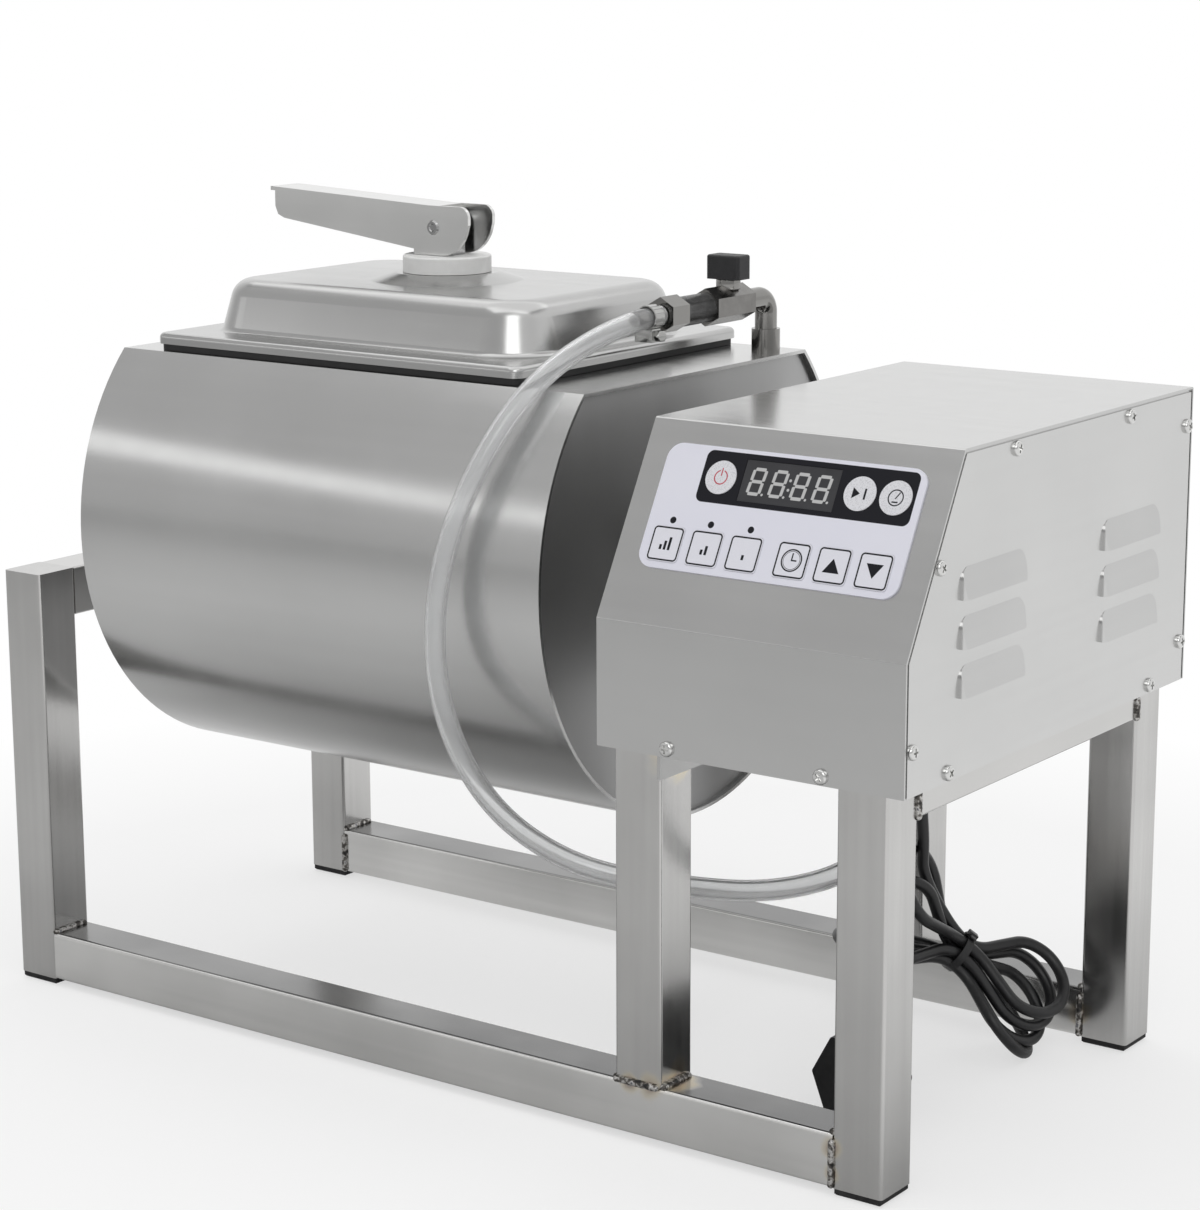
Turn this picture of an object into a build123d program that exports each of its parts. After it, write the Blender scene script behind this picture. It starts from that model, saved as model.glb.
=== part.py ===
from build123d import *
import math
import os

# Meat vacuum tumbler. Millimetres, +Z up, -Y to the front, drum axis along X.

# Frame of square tube
frame_length = 629.5
frame_width = 308.2
tube = 30.0
tube_wall = 1.5
tube_round = 2.0
foot_height = 4.0
foot_inset = 1.0
post_height = 262.2
outer_leg_height = 231.6
leg_bay = 108.6

# Control box sheet
sheet = 1.2
end_overhang = 11.7
front_overhang = 4.4
box_length = 188.5
box_bottom = 221.0
box_bend_height = 290.7
box_top = 390.8
slope_depth = 55.0
bend_radius = 1.5
panel_gap = 1.5
flange_width = 13.0

# Louvres in the right side panel
louvre_length = 66.0
louvre_height = 17.0
louvre_depth = 3.5
louvre_corner = 7.0
louvre_round = 2.8
louvre_y = (-72.0, 84.0)
louvre_z = (271.0, 296.5, 322.0)

# Screws
screw_radius = 2.0
screw_head_radius = 4.2
screw_head_height = 2.4
screw_length = 7.0
hole_clearance = 0.2
panel_screw_inset = 7.0

# Fits
running_clearance = 0.05
sliding_gap = 0.3

# Drum
bearing_height = 31.7
drum_radius = 154.0
drum_gap = 41.65
drum_setback = 67.75
drum_wall = 2.0
flat_rise = 106.0
end_thickness = 3.0
end_inset = 3.0
shaft_radius = 10.0
hub_radius = 36.0
hub_thickness = 8.0
baffle_height = 32.0
baffle_thickness = 2.5
baffle_angles = (-30.0, -90.0, -150.0)

# Mouth and lid
lid_left_margin = 24.0
lid_right_margin = 46.3
mouth_border = 24.0
mouth_width = 166.0
mouth_corner = 28.0
lid_width = 220.0
lid_corner = 7.0
lid_sheet = 1.5
lid_gap = 4.2
lid_rim = 6.4
dome_border = 13.0
dome_width = 172.0
dome_corner = 34.0
dome_height = 30.6
dome_taper = 16.0
dome_round = 13.0
dome_cove = 4.0
boss_radius = 46.0
boss_top_radius = 31.0
boss_height = 4.5
gasket_width = 14.0
gasket_gap = 0.2

# Lid lock
washer_radius = 26.5
washer_thickness = 10.0
stud_radius = 6.0
eye_width = 12.0
eye_length = 18.0
pin_radius = 3.4
pin_head_radius = 4.4
pin_head = 1.2
pin_height = 16.7
cam_rate = 6.4
lever_width = 26.0
lever_plate = 2.5
lever_reach = 128.0
lever_lip = 3.5
lever_corner = 7.0
lever_top = 13.0
lever_tip_top = 19.0
lever_tip_bottom = 0.0
lever_root_bottom = -13.2
cam_back = 15.0
lever_turn = 90.0
bar_hook = 10.0
bar_width = 22.0
bar_thickness = 8.0
bar_play = 1.0
nut_flats = 18.0
nut_thickness = 8.0

# Vacuum line on the drum
line_setback = 14.3
line_y = 90.5
line_rise = 32.5
socket_radius = 8.5
socket_height = 14.0
pipe_radius = 6.6
pipe_bore = 3.5
elbow_radius = 9.0
elbow_run = 16.5
valve_flats = 19.0
valve_length = 39.0
collar_radius = 8.6
collar_length = 28.6
tail_nut_flats = 18.0
tail_nut_length = 16.6
tail_radius = 4.0
tail_bore = 2.5
tail_length = 26.0
knob_stem_radius = 4.2
knob_stem_drop = 3.0
knob_length = 22.5
knob_width = 14.0
knob_height = 14.0
knob_lift = 14.5
knob_setback = 15.0

# Hose and its clamp
hose_radius = 6.0
hose_bore = 4.15
hose_reach = 150.3
hose_drop = 306.0
clamp_clearance = 0.15
clamp_band = 1.0
clamp_width = 9.0
clamp_setback = 5.0
clamp_housing = 8.0
clamp_screw_radius = 3.4

# Keypad on the slope
keypad_width = 158.0
keypad_height = 69.8
keypad_corner = 9.0
keypad_thickness = 1.2
keypad_along = 65.9
key_gap = 0.15
key_proud = 0.3
key_thickness = 0.8
key_travel = 0.4
round_key = 9.3
square_key = 19.5
square_key_corner = 2.0
round_row = 18.2
square_row = -21.4
# Key places along the keypad, as shares of its width
round_keys = {"key_power": -0.2658, "key_run": 0.2696, "key_vacuum": 0.4025}
square_keys = {
    "key_fast": -0.4051,
    "key_medium": -0.2506,
    "key_slow": -0.0968,
    "key_timer": 0.0892,
    "key_up": 0.2424,
    "key_down": 0.3962,
}
display_share = 0.3646
display_height = 23.0
display_depth = 9.0
display_sink = 0.2
display_gap = 0.2
board_margin = 5.0
board_height = 62.0
board_thickness = 1.6
standoff_radius = 3.0
relay_size = 16.0
relay_height = 14.0

# Deck, drive and pump inside the box
tray_sheet = 2.0
tray_lip = 10.0
tray_back_lip = 24.0
block_width = 28.0
block_base = 10.0
block_radius = 27.0
insert_radius = 20.0
insert_width = 22.0
bolt_radius = 5.0
bolt_head = 6.0
bolt_spacing = 84.0
bolt_edge = 12.0
gearbox_offset = 14.0
gearbox_length = 58.0
gearbox_width = 68.0
gearbox_rise = 44.0
motor_radius = 27.0
motor_length = 96.0
motor_lift = 10.0
pump_x = 52.0
pump_y = -102.0
pump_radius = 22.0
pump_length = 56.0
pump_head_length = 40.0
pump_head_width = 48.0
pump_head_height = 58.0
pump_foot = 4.0
nozzle_radius = 4.0
nozzle_length = 14.0

# Where the hose and the cord come out under the deck, measured from the inner legs
bulkhead_x = 85.0
bulkhead_y = -52.0
bulkhead_flats = 20.0
bulkhead_nut = 6.0
bulkhead_tail = 18.0
gland_x = 40.0
gland_y = 50.0
gland_radius = 9.0
gland_length = 14.0
boot_length = 26.0
boot_top = 7.5
boot_tip = 5.0

# Mains cord, hank and plug
cord_radius = 3.5
hank_x = 57.45
hank_y = 68.0
hank_z = 62.0
hank_lean = 38.0
hank_turn = 36.0
hank_waist = 12.0
waist_length = 20.0
loop_half = 23.3
loop_root = 9.0
# Each loop of the hank: fan in its plane, tilt out of it, roll about itself, reach from the tie
hank_loops = {
    "upper_right": (11.0, 5.0, 53.0, 68.0),
    "upper_left": (158.0, -12.0, -64.0, 72.0),
    "middle_right": (4.0, 8.0, 54.0, 68.0),
    "lower_left": (205.0, -17.0, -90.0, 74.0),
    "lower_right": (-14.0, -4.0, 82.0, 70.0),
    "middle_left": (182.0, -17.0, -10.0, 69.0),
    "inner_right": (-6.0, 0.0, 63.0, 68.0),
}
tie_width = 6.0
tie_band = 1.5
plug_width = 36.0
plug_depth = 34.0
plug_height = 47.0
plug_x = 56.45
plug_y = -45.0
plug_point = 12.0
plug_bevel = 6.0
prong_reach = 13.0
prong_radius = 2.4

# Places that follow from the sizes above
frame_left = -(frame_length + end_overhang + louvre_depth) / 2
frame_right = frame_left + frame_length
half_width = frame_width / 2
inner_leg_right = frame_right - tube - leg_bay
inner_leg_left = inner_leg_right - tube
rail_top = foot_height + tube
box_right = frame_right + end_overhang
box_left = box_right - box_length
box_mid = (box_left + box_right) / 2
box_half = half_width + front_overhang
axis_height = post_height + bearing_height
drum_left = frame_left + drum_setback
drum_right = box_left - drum_gap
drum_length = drum_right - drum_left
flat_height = axis_height + flat_rise
lid_length = drum_length - lid_left_margin - lid_right_margin
lid_x = drum_left + lid_left_margin + lid_length / 2
mouth_length = lid_length - 2 * mouth_border
dome_length = lid_length - 2 * dome_border
bar_length = mouth_width + 2 * bar_hook
block_length = bolt_spacing + 2 * bolt_edge
lip_bottom = flat_height + lid_gap
lid_top = lip_bottom + lid_rim
dome_top = lid_top + dome_height
boss_top = dome_top + boss_height
washer_bottom = boss_top + gasket_gap
washer_top = washer_bottom + washer_thickness
pin_z = washer_top + pin_height
cam_flat = pin_height - sliding_gap
cam_lift = cam_rate * math.radians(lever_turn)
bar_top = flat_height - drum_wall - cam_lift - bar_play
line_x = drum_right - line_setback
line_z = flat_height + line_rise
display_width = display_share * keypad_width
board_width = keypad_width - 2 * board_margin
deck_bottom = outer_leg_height
deck_top = deck_bottom + tray_sheet

part_names = []


def save(name, *solids):
    """Write one node: one solid, or a group of separate solids."""
    shape = solids[0] if len(solids) == 1 else Compound([s.solid() for s in solids])
    shape.label = name
    export_step(shape, f"parts/{name}.step")
    part_names.append(name)


def block(x0, x1, y0, y1, z0, z1):
    """A box between two corners."""
    middle = Pos((x0 + x1) / 2, (y0 + y1) / 2, (z0 + z1) / 2)
    return middle * Box(x1 - x0, y1 - y0, z1 - z0)


def rod(start, direction, radius, length):
    """A round bar from a point along a direction."""
    return extrude(Plane(origin=start, z_dir=direction) * Circle(radius), length)


def hex_bar(start, direction, flats, length):
    """A hexagon bar from a point along a direction."""
    outline = RegularPolygon(flats / 2, 6, major_radius=False)
    return extrude(Plane(origin=start, z_dir=direction) * outline, length)


def square_tube(x0, x1, y0, y1, z0, z1, along, capped=False):
    """A square tube; a capped one keeps a closed upper end."""
    w = tube_wall
    bore = {
        "x": (x0, x1, y0 + w, y1 - w, z0 + w, z1 - w),
        "y": (x0 + w, x1 - w, y0, y1, z0 + w, z1 - w),
        "z": (x0 + w, x1 - w, y0 + w, y1 - w, z0, z1 - w if capped else z1),
    }[along]
    outside = block(x0, x1, y0, y1, z0, z1)
    length_ways = outside.edges().filter_by({"x": Axis.X, "y": Axis.Y, "z": Axis.Z}[along])
    return fillet(length_ways, tube_round) - block(*bore)


def screw(point, direction):
    """A pan-head screw whose head sits on the point, shank pointing inwards."""
    head = rod(point, direction, screw_head_radius, screw_head_height)
    head = fillet(head.edges().group_by(Axis(point, direction))[-1], screw_head_height * 0.8)
    inwards = tuple(-c for c in direction)
    return head + rod(point, inwards, screw_radius, screw_length)


def shifted(points, inset):
    """The inner corners of a bent sheet whose outer corners are given, open at both ends."""
    lines = []
    for (y0, z0), (y1, z1) in zip(points, points[1:]):
        run = math.hypot(y1 - y0, z1 - z0)
        ny, nz = (z1 - z0) / run, -(y1 - y0) / run
        lines.append((y0 + ny * inset, z0 + nz * inset, (y1 - y0) / run, (z1 - z0) / run))
    inner = [(lines[0][0], lines[0][1])]
    for (ya, za, ua, va), (yb, zb, ub, vb) in zip(lines, lines[1:]):
        cross = ua * vb - va * ub
        step = ((yb - ya) * vb - (zb - za) * ub) / cross
        inner.append((ya + ua * step, za + va * step))
    ya, za, ua, va = lines[-1]
    run = points[-1][1] - za
    inner.append((ya + ua * run / va, points[-1][1]))
    return inner


def side_plane(x):
    """The upright plane across the machine at x: local x is Y, local y is Z."""
    return Plane(origin=(x, 0, 0), x_dir=(0, 1, 0), z_dir=(1, 0, 0))


def sheet_outline(points):
    """A face in the YZ plane from corner points."""
    return make_face(Polyline(*points, close=True))


def cord_path(points):
    """A route of straight runs joined by tangent arcs, and its radii."""
    turns = []
    for a, b, c in zip(points, points[1:], points[2:]):
        before = Vector(b) - Vector(a)
        after = Vector(c) - Vector(b)
        half_turn = math.radians(before.get_angle(after)) / 2
        turns.append(0.45 * min(before.length, after.length) / math.tan(half_turn))
    return FilletPolyline(*points, radius=turns), turns


def cord_tube(name, points, radius, bore=0.0):
    """A cord or hose along its route."""
    path, turns = cord_path(points)
    start = Plane(origin=path @ 0, z_dir=path % 0)
    body = sweep(start * Circle(radius), path)
    expected = math.pi * radius**2 * path.length
    if bore:
        body = body - sweep(start * Circle(bore), path)
        expected -= math.pi * bore**2 * path.length
    print(name, "radii", [round(r) for r in turns], "length", round(path.length),
          "volume ratio", round(body.volume / expected, 4))
    return body


os.makedirs("parts", exist_ok=True)

# Bottom rails, between the left posts and the outer legs
rail_x = (frame_left + tube, frame_right - tube)
for name, side in (("front_rail", -1), ("rear_rail", 1)):
    y0, y1 = sorted((side * half_width, side * (half_width - tube)))
    save(name, square_tube(*rail_x, y0, y1, foot_height, rail_top, "x"))

# Uprights: left posts, inner legs that stand on the rails, outer legs
uprights = {
    "left_posts": (frame_left, foot_height, post_height),
    "inner_legs": (inner_leg_left, rail_top, post_height),
    "outer_legs": (frame_right - tube, foot_height, outer_leg_height),
}
for name, (x0, z0, z1) in uprights.items():
    front = square_tube(x0, x0 + tube, -half_width, tube - half_width, z0, z1, "z", True)
    rear = square_tube(x0, x0 + tube, half_width - tube, half_width, z0, z1, "z", True)
    save(name, front, rear)

# Cross bars between the uprights
cross_bars = {
    "left_top_bar": (frame_left, post_height),
    "inner_cross_bar": (inner_leg_left, post_height),
    "outer_cross_bar": (frame_right - tube, outer_leg_height),
}
for name, (x0, z1) in cross_bars.items():
    span = half_width - tube
    save(name, square_tube(x0, x0 + tube, -span, span, z1 - tube, z1, "y"))

# Rubber feet under the four corner uprights
feet = []
for x0 in (frame_left, frame_right - tube):
    for y0 in (-half_width, half_width - tube):
        i = foot_inset
        pad = block(x0 + i, x0 + tube - i, y0 + i, y0 + tube - i, 0, foot_height)
        feet.append(chamfer(pad.edges().group_by(Axis.Z)[0], foot_inset))
save("leg_feet", *feet)

# Pillow blocks on the left top bar and the inner cross bar
block_places = {"left_pillow_block": frame_left, "right_pillow_block": inner_leg_left}
inserts = []
bolts = []
for name, bar_x in block_places.items():
    mid = bar_x + tube / 2
    x0 = mid - block_width / 2
    base_half = block_length / 2
    foot = block(x0, x0 + block_width, -base_half, base_half, post_height, post_height + block_base)
    foot = fillet(foot.edges().filter_by(Axis.Z), block_width / 4)
    ring = rod((x0, 0, axis_height), (1, 0, 0), block_radius, block_width)
    web = block(x0, x0 + block_width, -block_radius, block_radius, post_height, axis_height)
    bore = rod((x0, 0, axis_height), (1, 0, 0), insert_radius + running_clearance, block_width)
    housing = foot + ring + web - bore
    for side in (-1, 1):
        seat = (mid, side * bolt_spacing / 2, post_height + block_base)
        shank = rod(seat, (0, 0, -1), bolt_radius - hole_clearance, block_base)
        housing = housing - rod(seat, (0, 0, -1), bolt_radius, block_base)
        bolts.append(hex_bar(seat, (0, 0, 1), bolt_radius * 3, bolt_head) + shank)
    save(name, housing)
    insert_x = mid - insert_width / 2
    insert = rod((insert_x, 0, axis_height), (1, 0, 0), insert_radius, insert_width)
    inserts.append(insert - rod((insert_x, 0, axis_height), (1, 0, 0), shaft_radius, insert_width))
save("block_bolts", *bolts)
save("bearing_inserts", *inserts)


def drum_section(x, inset):
    """The drum's cross-section at x: a circle with the top cut flat."""
    plane = Plane(origin=(x, 0, axis_height), x_dir=(0, 1, 0), z_dir=(1, 0, 0))
    over = Pos(0, flat_rise - inset + drum_radius) * Rectangle(4 * drum_radius, 2 * drum_radius)
    return plane * (Circle(drum_radius - inset) - over)


# Drum shell, with the mouth and the air hole in its flat
shell = extrude(drum_section(drum_left, 0), drum_length)
shell = shell - extrude(drum_section(drum_left, drum_wall), drum_length)
mouth = RectangleRounded(mouth_length, mouth_width, mouth_corner)
shell = shell - extrude(Pos(lid_x, 0, flat_height - 2 * drum_wall) * mouth, 4 * drum_wall)
shell = shell - rod((line_x, line_y, flat_height - 2 * drum_wall), (0, 0, 1), pipe_bore, 4 * drum_wall)
save("drum_shell", shell)

# End discs, set in behind the rims
left_disc_x = drum_left + end_inset
right_disc_x = drum_right - end_inset - end_thickness
save("drum_left_end", extrude(drum_section(left_disc_x, drum_wall), end_thickness))
save("drum_right_end", extrude(drum_section(right_disc_x, drum_wall), end_thickness))

# Shafts with welded hubs
gearbox_left = inner_leg_right + gearbox_offset
gearbox_right = gearbox_left + gearbox_length
left_shaft_end = frame_left + 2 * tube_wall
left_hub = rod((left_disc_x, 0, axis_height), (-1, 0, 0), hub_radius, hub_thickness)
left_shaft = rod((left_disc_x, 0, axis_height), (-1, 0, 0), shaft_radius, left_disc_x - left_shaft_end)
save("left_shaft", left_hub + left_shaft)
right_hub_x = right_disc_x + end_thickness
right_hub = rod((right_hub_x, 0, axis_height), (1, 0, 0), hub_radius, hub_thickness)
right_shaft = rod((right_hub_x, 0, axis_height), (1, 0, 0), shaft_radius, gearbox_right - right_hub_x)
save("right_shaft", right_hub + right_shaft)

# Baffles that lift the meat as the drum turns
inside_left = left_disc_x + end_thickness
inside_length = right_disc_x - inside_left
inside = extrude(drum_section(inside_left, drum_wall), inside_length)
baffles = []
for angle in baffle_angles:
    fin = block(
        inside_left, inside_left + inside_length,
        drum_radius - baffle_height, drum_radius,
        -baffle_thickness / 2, baffle_thickness / 2,
    )
    fin = Pos(0, 0, axis_height) * Rot(angle, 0, 0) * fin
    baffles.append(fin & inside)
save("drum_baffles", *baffles)


def lid_form(inset):
    """The lid's outer or inner skin: a rim, a pressed dome and a low boss."""
    rim = RectangleRounded(lid_length - 2 * inset, lid_width - 2 * inset, lid_corner - inset)
    base = lip_bottom - inset
    rim_body = extrude(Pos(lid_x, 0, base) * rim, lid_rim)
    rim_body = fillet(rim_body.edges().group_by(Axis.Z)[-1], 2 * lid_sheet - inset)
    top = RectangleRounded(dome_length - 2 * inset, dome_width - 2 * inset, dome_corner - inset)
    dome = extrude(Pos(lid_x, 0, lid_top - inset - lid_sheet) * top, dome_height + lid_sheet, taper=dome_taper)
    dome = fillet(dome.edges().group_by(Axis.Z)[-1], dome_round - inset)
    pressed = rim_body + dome
    root = [
        e for e in pressed.edges()
        if abs(e.center().Z - lid_top + inset) < 0.01 and abs(e.center().Y) < dome_width / 2
        and abs(e.center().X - lid_x) < dome_length / 2 and e.bounding_box().size.Z < 0.01
    ]
    pressed = fillet(root, dome_cove + inset)
    boss_plane = Plane(origin=(lid_x, 0, dome_top - inset + boss_height / 2))
    boss = boss_plane * Cone(boss_radius, boss_top_radius, boss_height)
    return pressed + boss


# Lid pan, with the hole for the stud
pan = lid_form(0) - lid_form(lid_sheet)
pan = pan - rod((lid_x, 0, dome_top - dome_height), (0, 0, 1), stud_radius + sliding_gap, 2 * dome_height)
save("lid_pan", pan)

# Gasket in the lid's rim, resting on the drum's flat
gasket_out = RectangleRounded(
    lid_length - 2 * lid_sheet - 1, lid_width - 2 * lid_sheet - 1, lid_corner - lid_sheet - 0.5
)
gasket_in = RectangleRounded(
    lid_length - 2 * lid_sheet - 2 * gasket_width, lid_width - 2 * lid_sheet - 2 * gasket_width, mouth_corner
)
gasket_bottom = flat_height + gasket_gap
gasket_height = lid_top - lid_sheet - 2 * gasket_gap - gasket_bottom
gasket = extrude(Pos(lid_x, 0, gasket_bottom) * (gasket_out - gasket_in), gasket_height)
save("lid_gasket", chamfer(gasket.edges().group_by(Axis.Z)[-1], 2 * lid_sheet))

# Nylon washer that the cam bears on
washer = rod((lid_x, 0, washer_bottom), (0, 0, 1), washer_radius, washer_thickness)
washer = fillet(washer.edges().group_by(Axis.Z)[-1], washer_thickness / 8)
stud_hole = rod((lid_x, 0, washer_bottom), (0, 0, 1), stud_radius + running_clearance, washer_thickness)
save("nylon_washer", washer - stud_hole)

# Lock stud: an eye on the pin, a stem through the lid and a nut below the cross bar
bar_bottom = bar_top - bar_thickness
eye_bottom = washer_top + sliding_gap
eye = block(
    lid_x - eye_length / 2, lid_x + eye_length / 2,
    -eye_width / 2, eye_width / 2,
    eye_bottom, pin_z,
)
eye = eye + rod((lid_x, -eye_width / 2, pin_z), (0, 1, 0), eye_length / 2, eye_width)
stem_bottom = bar_bottom - nut_thickness
stem = rod((lid_x, 0, stem_bottom), (0, 0, 1), stud_radius, eye_bottom - stem_bottom)
stud = eye + stem + hex_bar((lid_x, 0, stem_bottom), (0, 0, 1), nut_flats, nut_thickness)
save("lock_stud", stud - rod((lid_x, -eye_width, pin_z), (0, 1, 0), pin_radius + running_clearance, 2 * eye_width))

# Cross bar under the mouth: along the mouth it passes, across it holds
bar = block(
    lid_x - bar_length / 2, lid_x + bar_length / 2,
    -bar_width / 2, bar_width / 2,
    bar_bottom, bar_top,
)
bar = fillet(bar.edges().filter_by(Axis.Z), bar_width / 3)
save("lock_bar", bar - rod((lid_x, 0, bar_bottom), (0, 0, 1), stud_radius, bar_thickness))

# Cam lever: a folded channel whose end is an involute, so the lift follows the turn evenly
cam_points = []
cam_steps = 8
for step in range(cam_steps + 1):
    turn = math.radians(90.0) * step / cam_steps
    reach = cam_flat + cam_rate * turn
    along = reach * math.sin(turn) + cam_rate * math.cos(turn)
    rise = cam_rate * math.sin(turn) - reach * math.cos(turn)
    cam_points.append((along, rise))
cam_end = cam_points[-1]
corner = lever_top - cam_end[1]
cam_curve = Spline(*cam_points, tangents=[(1, 0), (0, 1)])
cam_shoulder = (cam_end[0] - corner, lever_top)
cam_corner = ThreePointArc(
    cam_end,
    (cam_end[0] - corner * (1 - math.sqrt(0.5)), cam_end[1] + corner * math.sqrt(0.5)),
    cam_shoulder,
)
handle = Polyline(
    cam_shoulder,
    (-pin_radius, lever_top),
    (-lever_reach, lever_tip_top),
    (-lever_reach, lever_tip_top - lever_plate),
    (lever_lip - lever_reach, lever_tip_top - lever_plate),
    (lever_lip - lever_reach, lever_tip_bottom + lever_corner),
    (lever_lip + 0.3 * lever_corner - lever_reach, lever_tip_bottom + 0.3 * lever_corner),
    (lever_lip + lever_corner - lever_reach, lever_tip_bottom),
    (-cam_back, lever_root_bottom),
    (-cam_back, -cam_flat),
    cam_points[0],
)
side = make_face(cam_curve.edges() + cam_corner.edges() + handle.edges())
lever_plane = Plane(origin=(lid_x, lever_width / 2, pin_z), x_dir=(1, 0, 0), z_dir=(0, -1, 0))
lever = extrude(lever_plane * side, lever_width)
slope_up = math.degrees(math.atan2(lever_tip_top - lever_top, lever_reach))
inner_half = lever_width / 2 - lever_plate
channel = block(-2 * lever_reach, lever_reach, -inner_half, inner_half, -lever_reach, -lever_plate)
channel = Pos(lid_x, 0, pin_z + lever_top) * Rot(0, slope_up, 0) * channel
slot = block(
    lid_x + pin_radius, lid_x + lever_reach,
    -inner_half, inner_half,
    pin_z - lever_reach, pin_z + lever_reach,
)
lever = lever - channel - slot
pin_hole = rod((lid_x, -lever_width, pin_z), (0, 1, 0), pin_radius, 2 * lever_width)
save("cam_lever", lever - pin_hole)

# Lever pin, riveted in the lever's side plates
pin = rod((lid_x, -lever_width / 2, pin_z), (0, 1, 0), pin_radius, lever_width)
pin = pin + rod((lid_x, -lever_width / 2, pin_z), (0, -1, 0), pin_head_radius, pin_head)
save("lever_pin", pin + rod((lid_x, lever_width / 2, pin_z), (0, 1, 0), pin_head_radius, pin_head))

# Vacuum socket welded to the flat, and the elbow on it
socket_top = flat_height + socket_height
socket = rod((line_x, line_y, flat_height), (0, 0, 1), socket_radius, socket_height)
save("line_socket", socket - rod((line_x, line_y, flat_height), (0, 0, 1), pipe_bore, socket_height))
valve_start = line_y - elbow_radius - elbow_run
elbow_path = FilletPolyline(
    (line_x, line_y, socket_top),
    (line_x, line_y, line_z),
    (line_x, valve_start, line_z),
    radius=elbow_radius,
)
elbow_plane = Plane(origin=(line_x, line_y, socket_top))
elbow = sweep(elbow_plane * Circle(pipe_radius), elbow_path)
save("line_elbow", elbow - sweep(elbow_plane * Circle(pipe_bore), elbow_path))

# Ball valve body: a hexagon block and a round collar
collar_start = valve_start - valve_length
tail_start = collar_start - collar_length
valve = hex_bar((line_x, valve_start, line_z), (0, -1, 0), valve_flats, valve_length)
valve = valve + rod((line_x, collar_start, line_z), (0, -1, 0), collar_radius, collar_length)
valve_span = valve_length + collar_length
valve = valve - rod((line_x, valve_start, line_z), (0, -1, 0), pipe_bore, valve_span)
knob_y = valve_start - knob_setback
stem_hole = rod((line_x, knob_y, line_z), (0, 0, 1), knob_stem_radius + running_clearance, valve_flats)
save("valve_body", valve - stem_hole)

# Valve knob: a T handle on its stem, turned a quarter to shut
knob_bottom = line_z + knob_lift
knob_base = line_z + pipe_bore + knob_stem_drop
knob = block(
    line_x - knob_length / 2, line_x + knob_length / 2,
    knob_y - knob_width / 2, knob_y + knob_width / 2,
    knob_bottom, knob_bottom + knob_height,
)
knob = fillet(knob.edges().filter_by(Axis.Z), knob_width / 6)
knob = fillet(knob.edges().group_by(Axis.Z)[-1], knob_width / 10)
save("valve_knob", knob + rod((line_x, knob_y, knob_base), (0, 0, 1), knob_stem_radius, knob_bottom - knob_base))

# Hose tail with its union nut
barb_start = tail_start - tail_nut_length
tail = hex_bar((line_x, tail_start, line_z), (0, -1, 0), tail_nut_flats, tail_nut_length)
tail = tail + rod((line_x, barb_start, line_z), (0, -1, 0), tail_radius, tail_length)
tail_span = tail_nut_length + tail_length
save("hose_tail", tail - rod((line_x, tail_start, line_z), (0, -1, 0), tail_bore, tail_span))

# Worm-drive clamp around the hose
clamp_y = barb_start - clamp_setback
clamp_in = hose_radius + clamp_clearance
clamp = rod((line_x, clamp_y, line_z), (0, -1, 0), clamp_in + clamp_band, clamp_width)
worm_top = line_z - clamp_in
worm = block(
    line_x - clamp_housing, line_x + clamp_housing / 2,
    clamp_y - clamp_width, clamp_y,
    worm_top - clamp_housing, worm_top,
)
worm_end = (line_x + clamp_housing / 2, clamp_y - clamp_width / 2, worm_top - clamp_housing / 2)
worm_screw = rod(worm_end, (1, 0, 0), clamp_screw_radius, 5.0)
clamp = clamp + worm + worm_screw
save("hose_clamp", clamp - rod((line_x, clamp_y, line_z), (0, -1, 0), clamp_in, clamp_width))

# Clear hose from the tail on the drum to the bulkhead under the deck
bulk_x = inner_leg_right + bulkhead_x
bulk_end = deck_bottom - bulkhead_nut - 1
hose_start = barb_start - 1.0
hose_points = [
    (line_x, hose_start, line_z),
    (line_x, hose_start - 0.281 * hose_reach, line_z),
    (line_x - 0.1 * hose_reach, hose_start - 0.76 * hose_reach, line_z - 0.105 * hose_drop),
    (line_x - 0.266 * hose_reach, hose_start - hose_reach, line_z - 0.366 * hose_drop),
    (line_x - 0.313 * hose_reach, hose_start - hose_reach, line_z - 0.627 * hose_drop),
    (line_x - 0.199 * hose_reach, hose_start - 0.867 * hose_reach, line_z - 0.843 * hose_drop),
    (line_x + 0.04 * hose_reach, hose_start - 0.654 * hose_reach, line_z - 0.971 * hose_drop),
    (line_x + 0.399 * hose_reach, hose_start - 0.48 * hose_reach, line_z - hose_drop),
    (line_x + 0.785 * hose_reach, hose_start - 0.374 * hose_reach, line_z - 0.993 * hose_drop),
    (bulk_x - 14, bulkhead_y - 8, bulk_end - 76),
    (bulk_x, bulkhead_y, bulk_end - 38),
    (bulk_x, bulkhead_y, bulk_end),
]
save("vacuum_hose", cord_tube("vacuum_hose", hose_points, hose_radius, hose_bore))

# Bulkhead tail through the deck, for the hose
bulkhead = hex_bar((bulk_x, bulkhead_y, deck_bottom), (0, 0, -1), bulkhead_flats, bulkhead_nut)
bulkhead = bulkhead + rod((bulk_x, bulkhead_y, deck_top), (0, 0, -1), tail_radius + 2, tray_sheet)
bulkhead = bulkhead + hex_bar((bulk_x, bulkhead_y, deck_top), (0, 0, 1), bulkhead_flats, bulkhead_nut)
bulkhead = bulkhead + rod((bulk_x, bulkhead_y, deck_bottom), (0, 0, -1), tail_radius, bulkhead_nut + bulkhead_tail)
bulk_bore_top = deck_top + bulkhead_nut
bulk_bore = bulk_bore_top - deck_bottom + bulkhead_nut + bulkhead_tail
save("bulkhead_tail", bulkhead - rod((bulk_x, bulkhead_y, bulk_bore_top), (0, 0, -1), tail_bore, bulk_bore))

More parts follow.
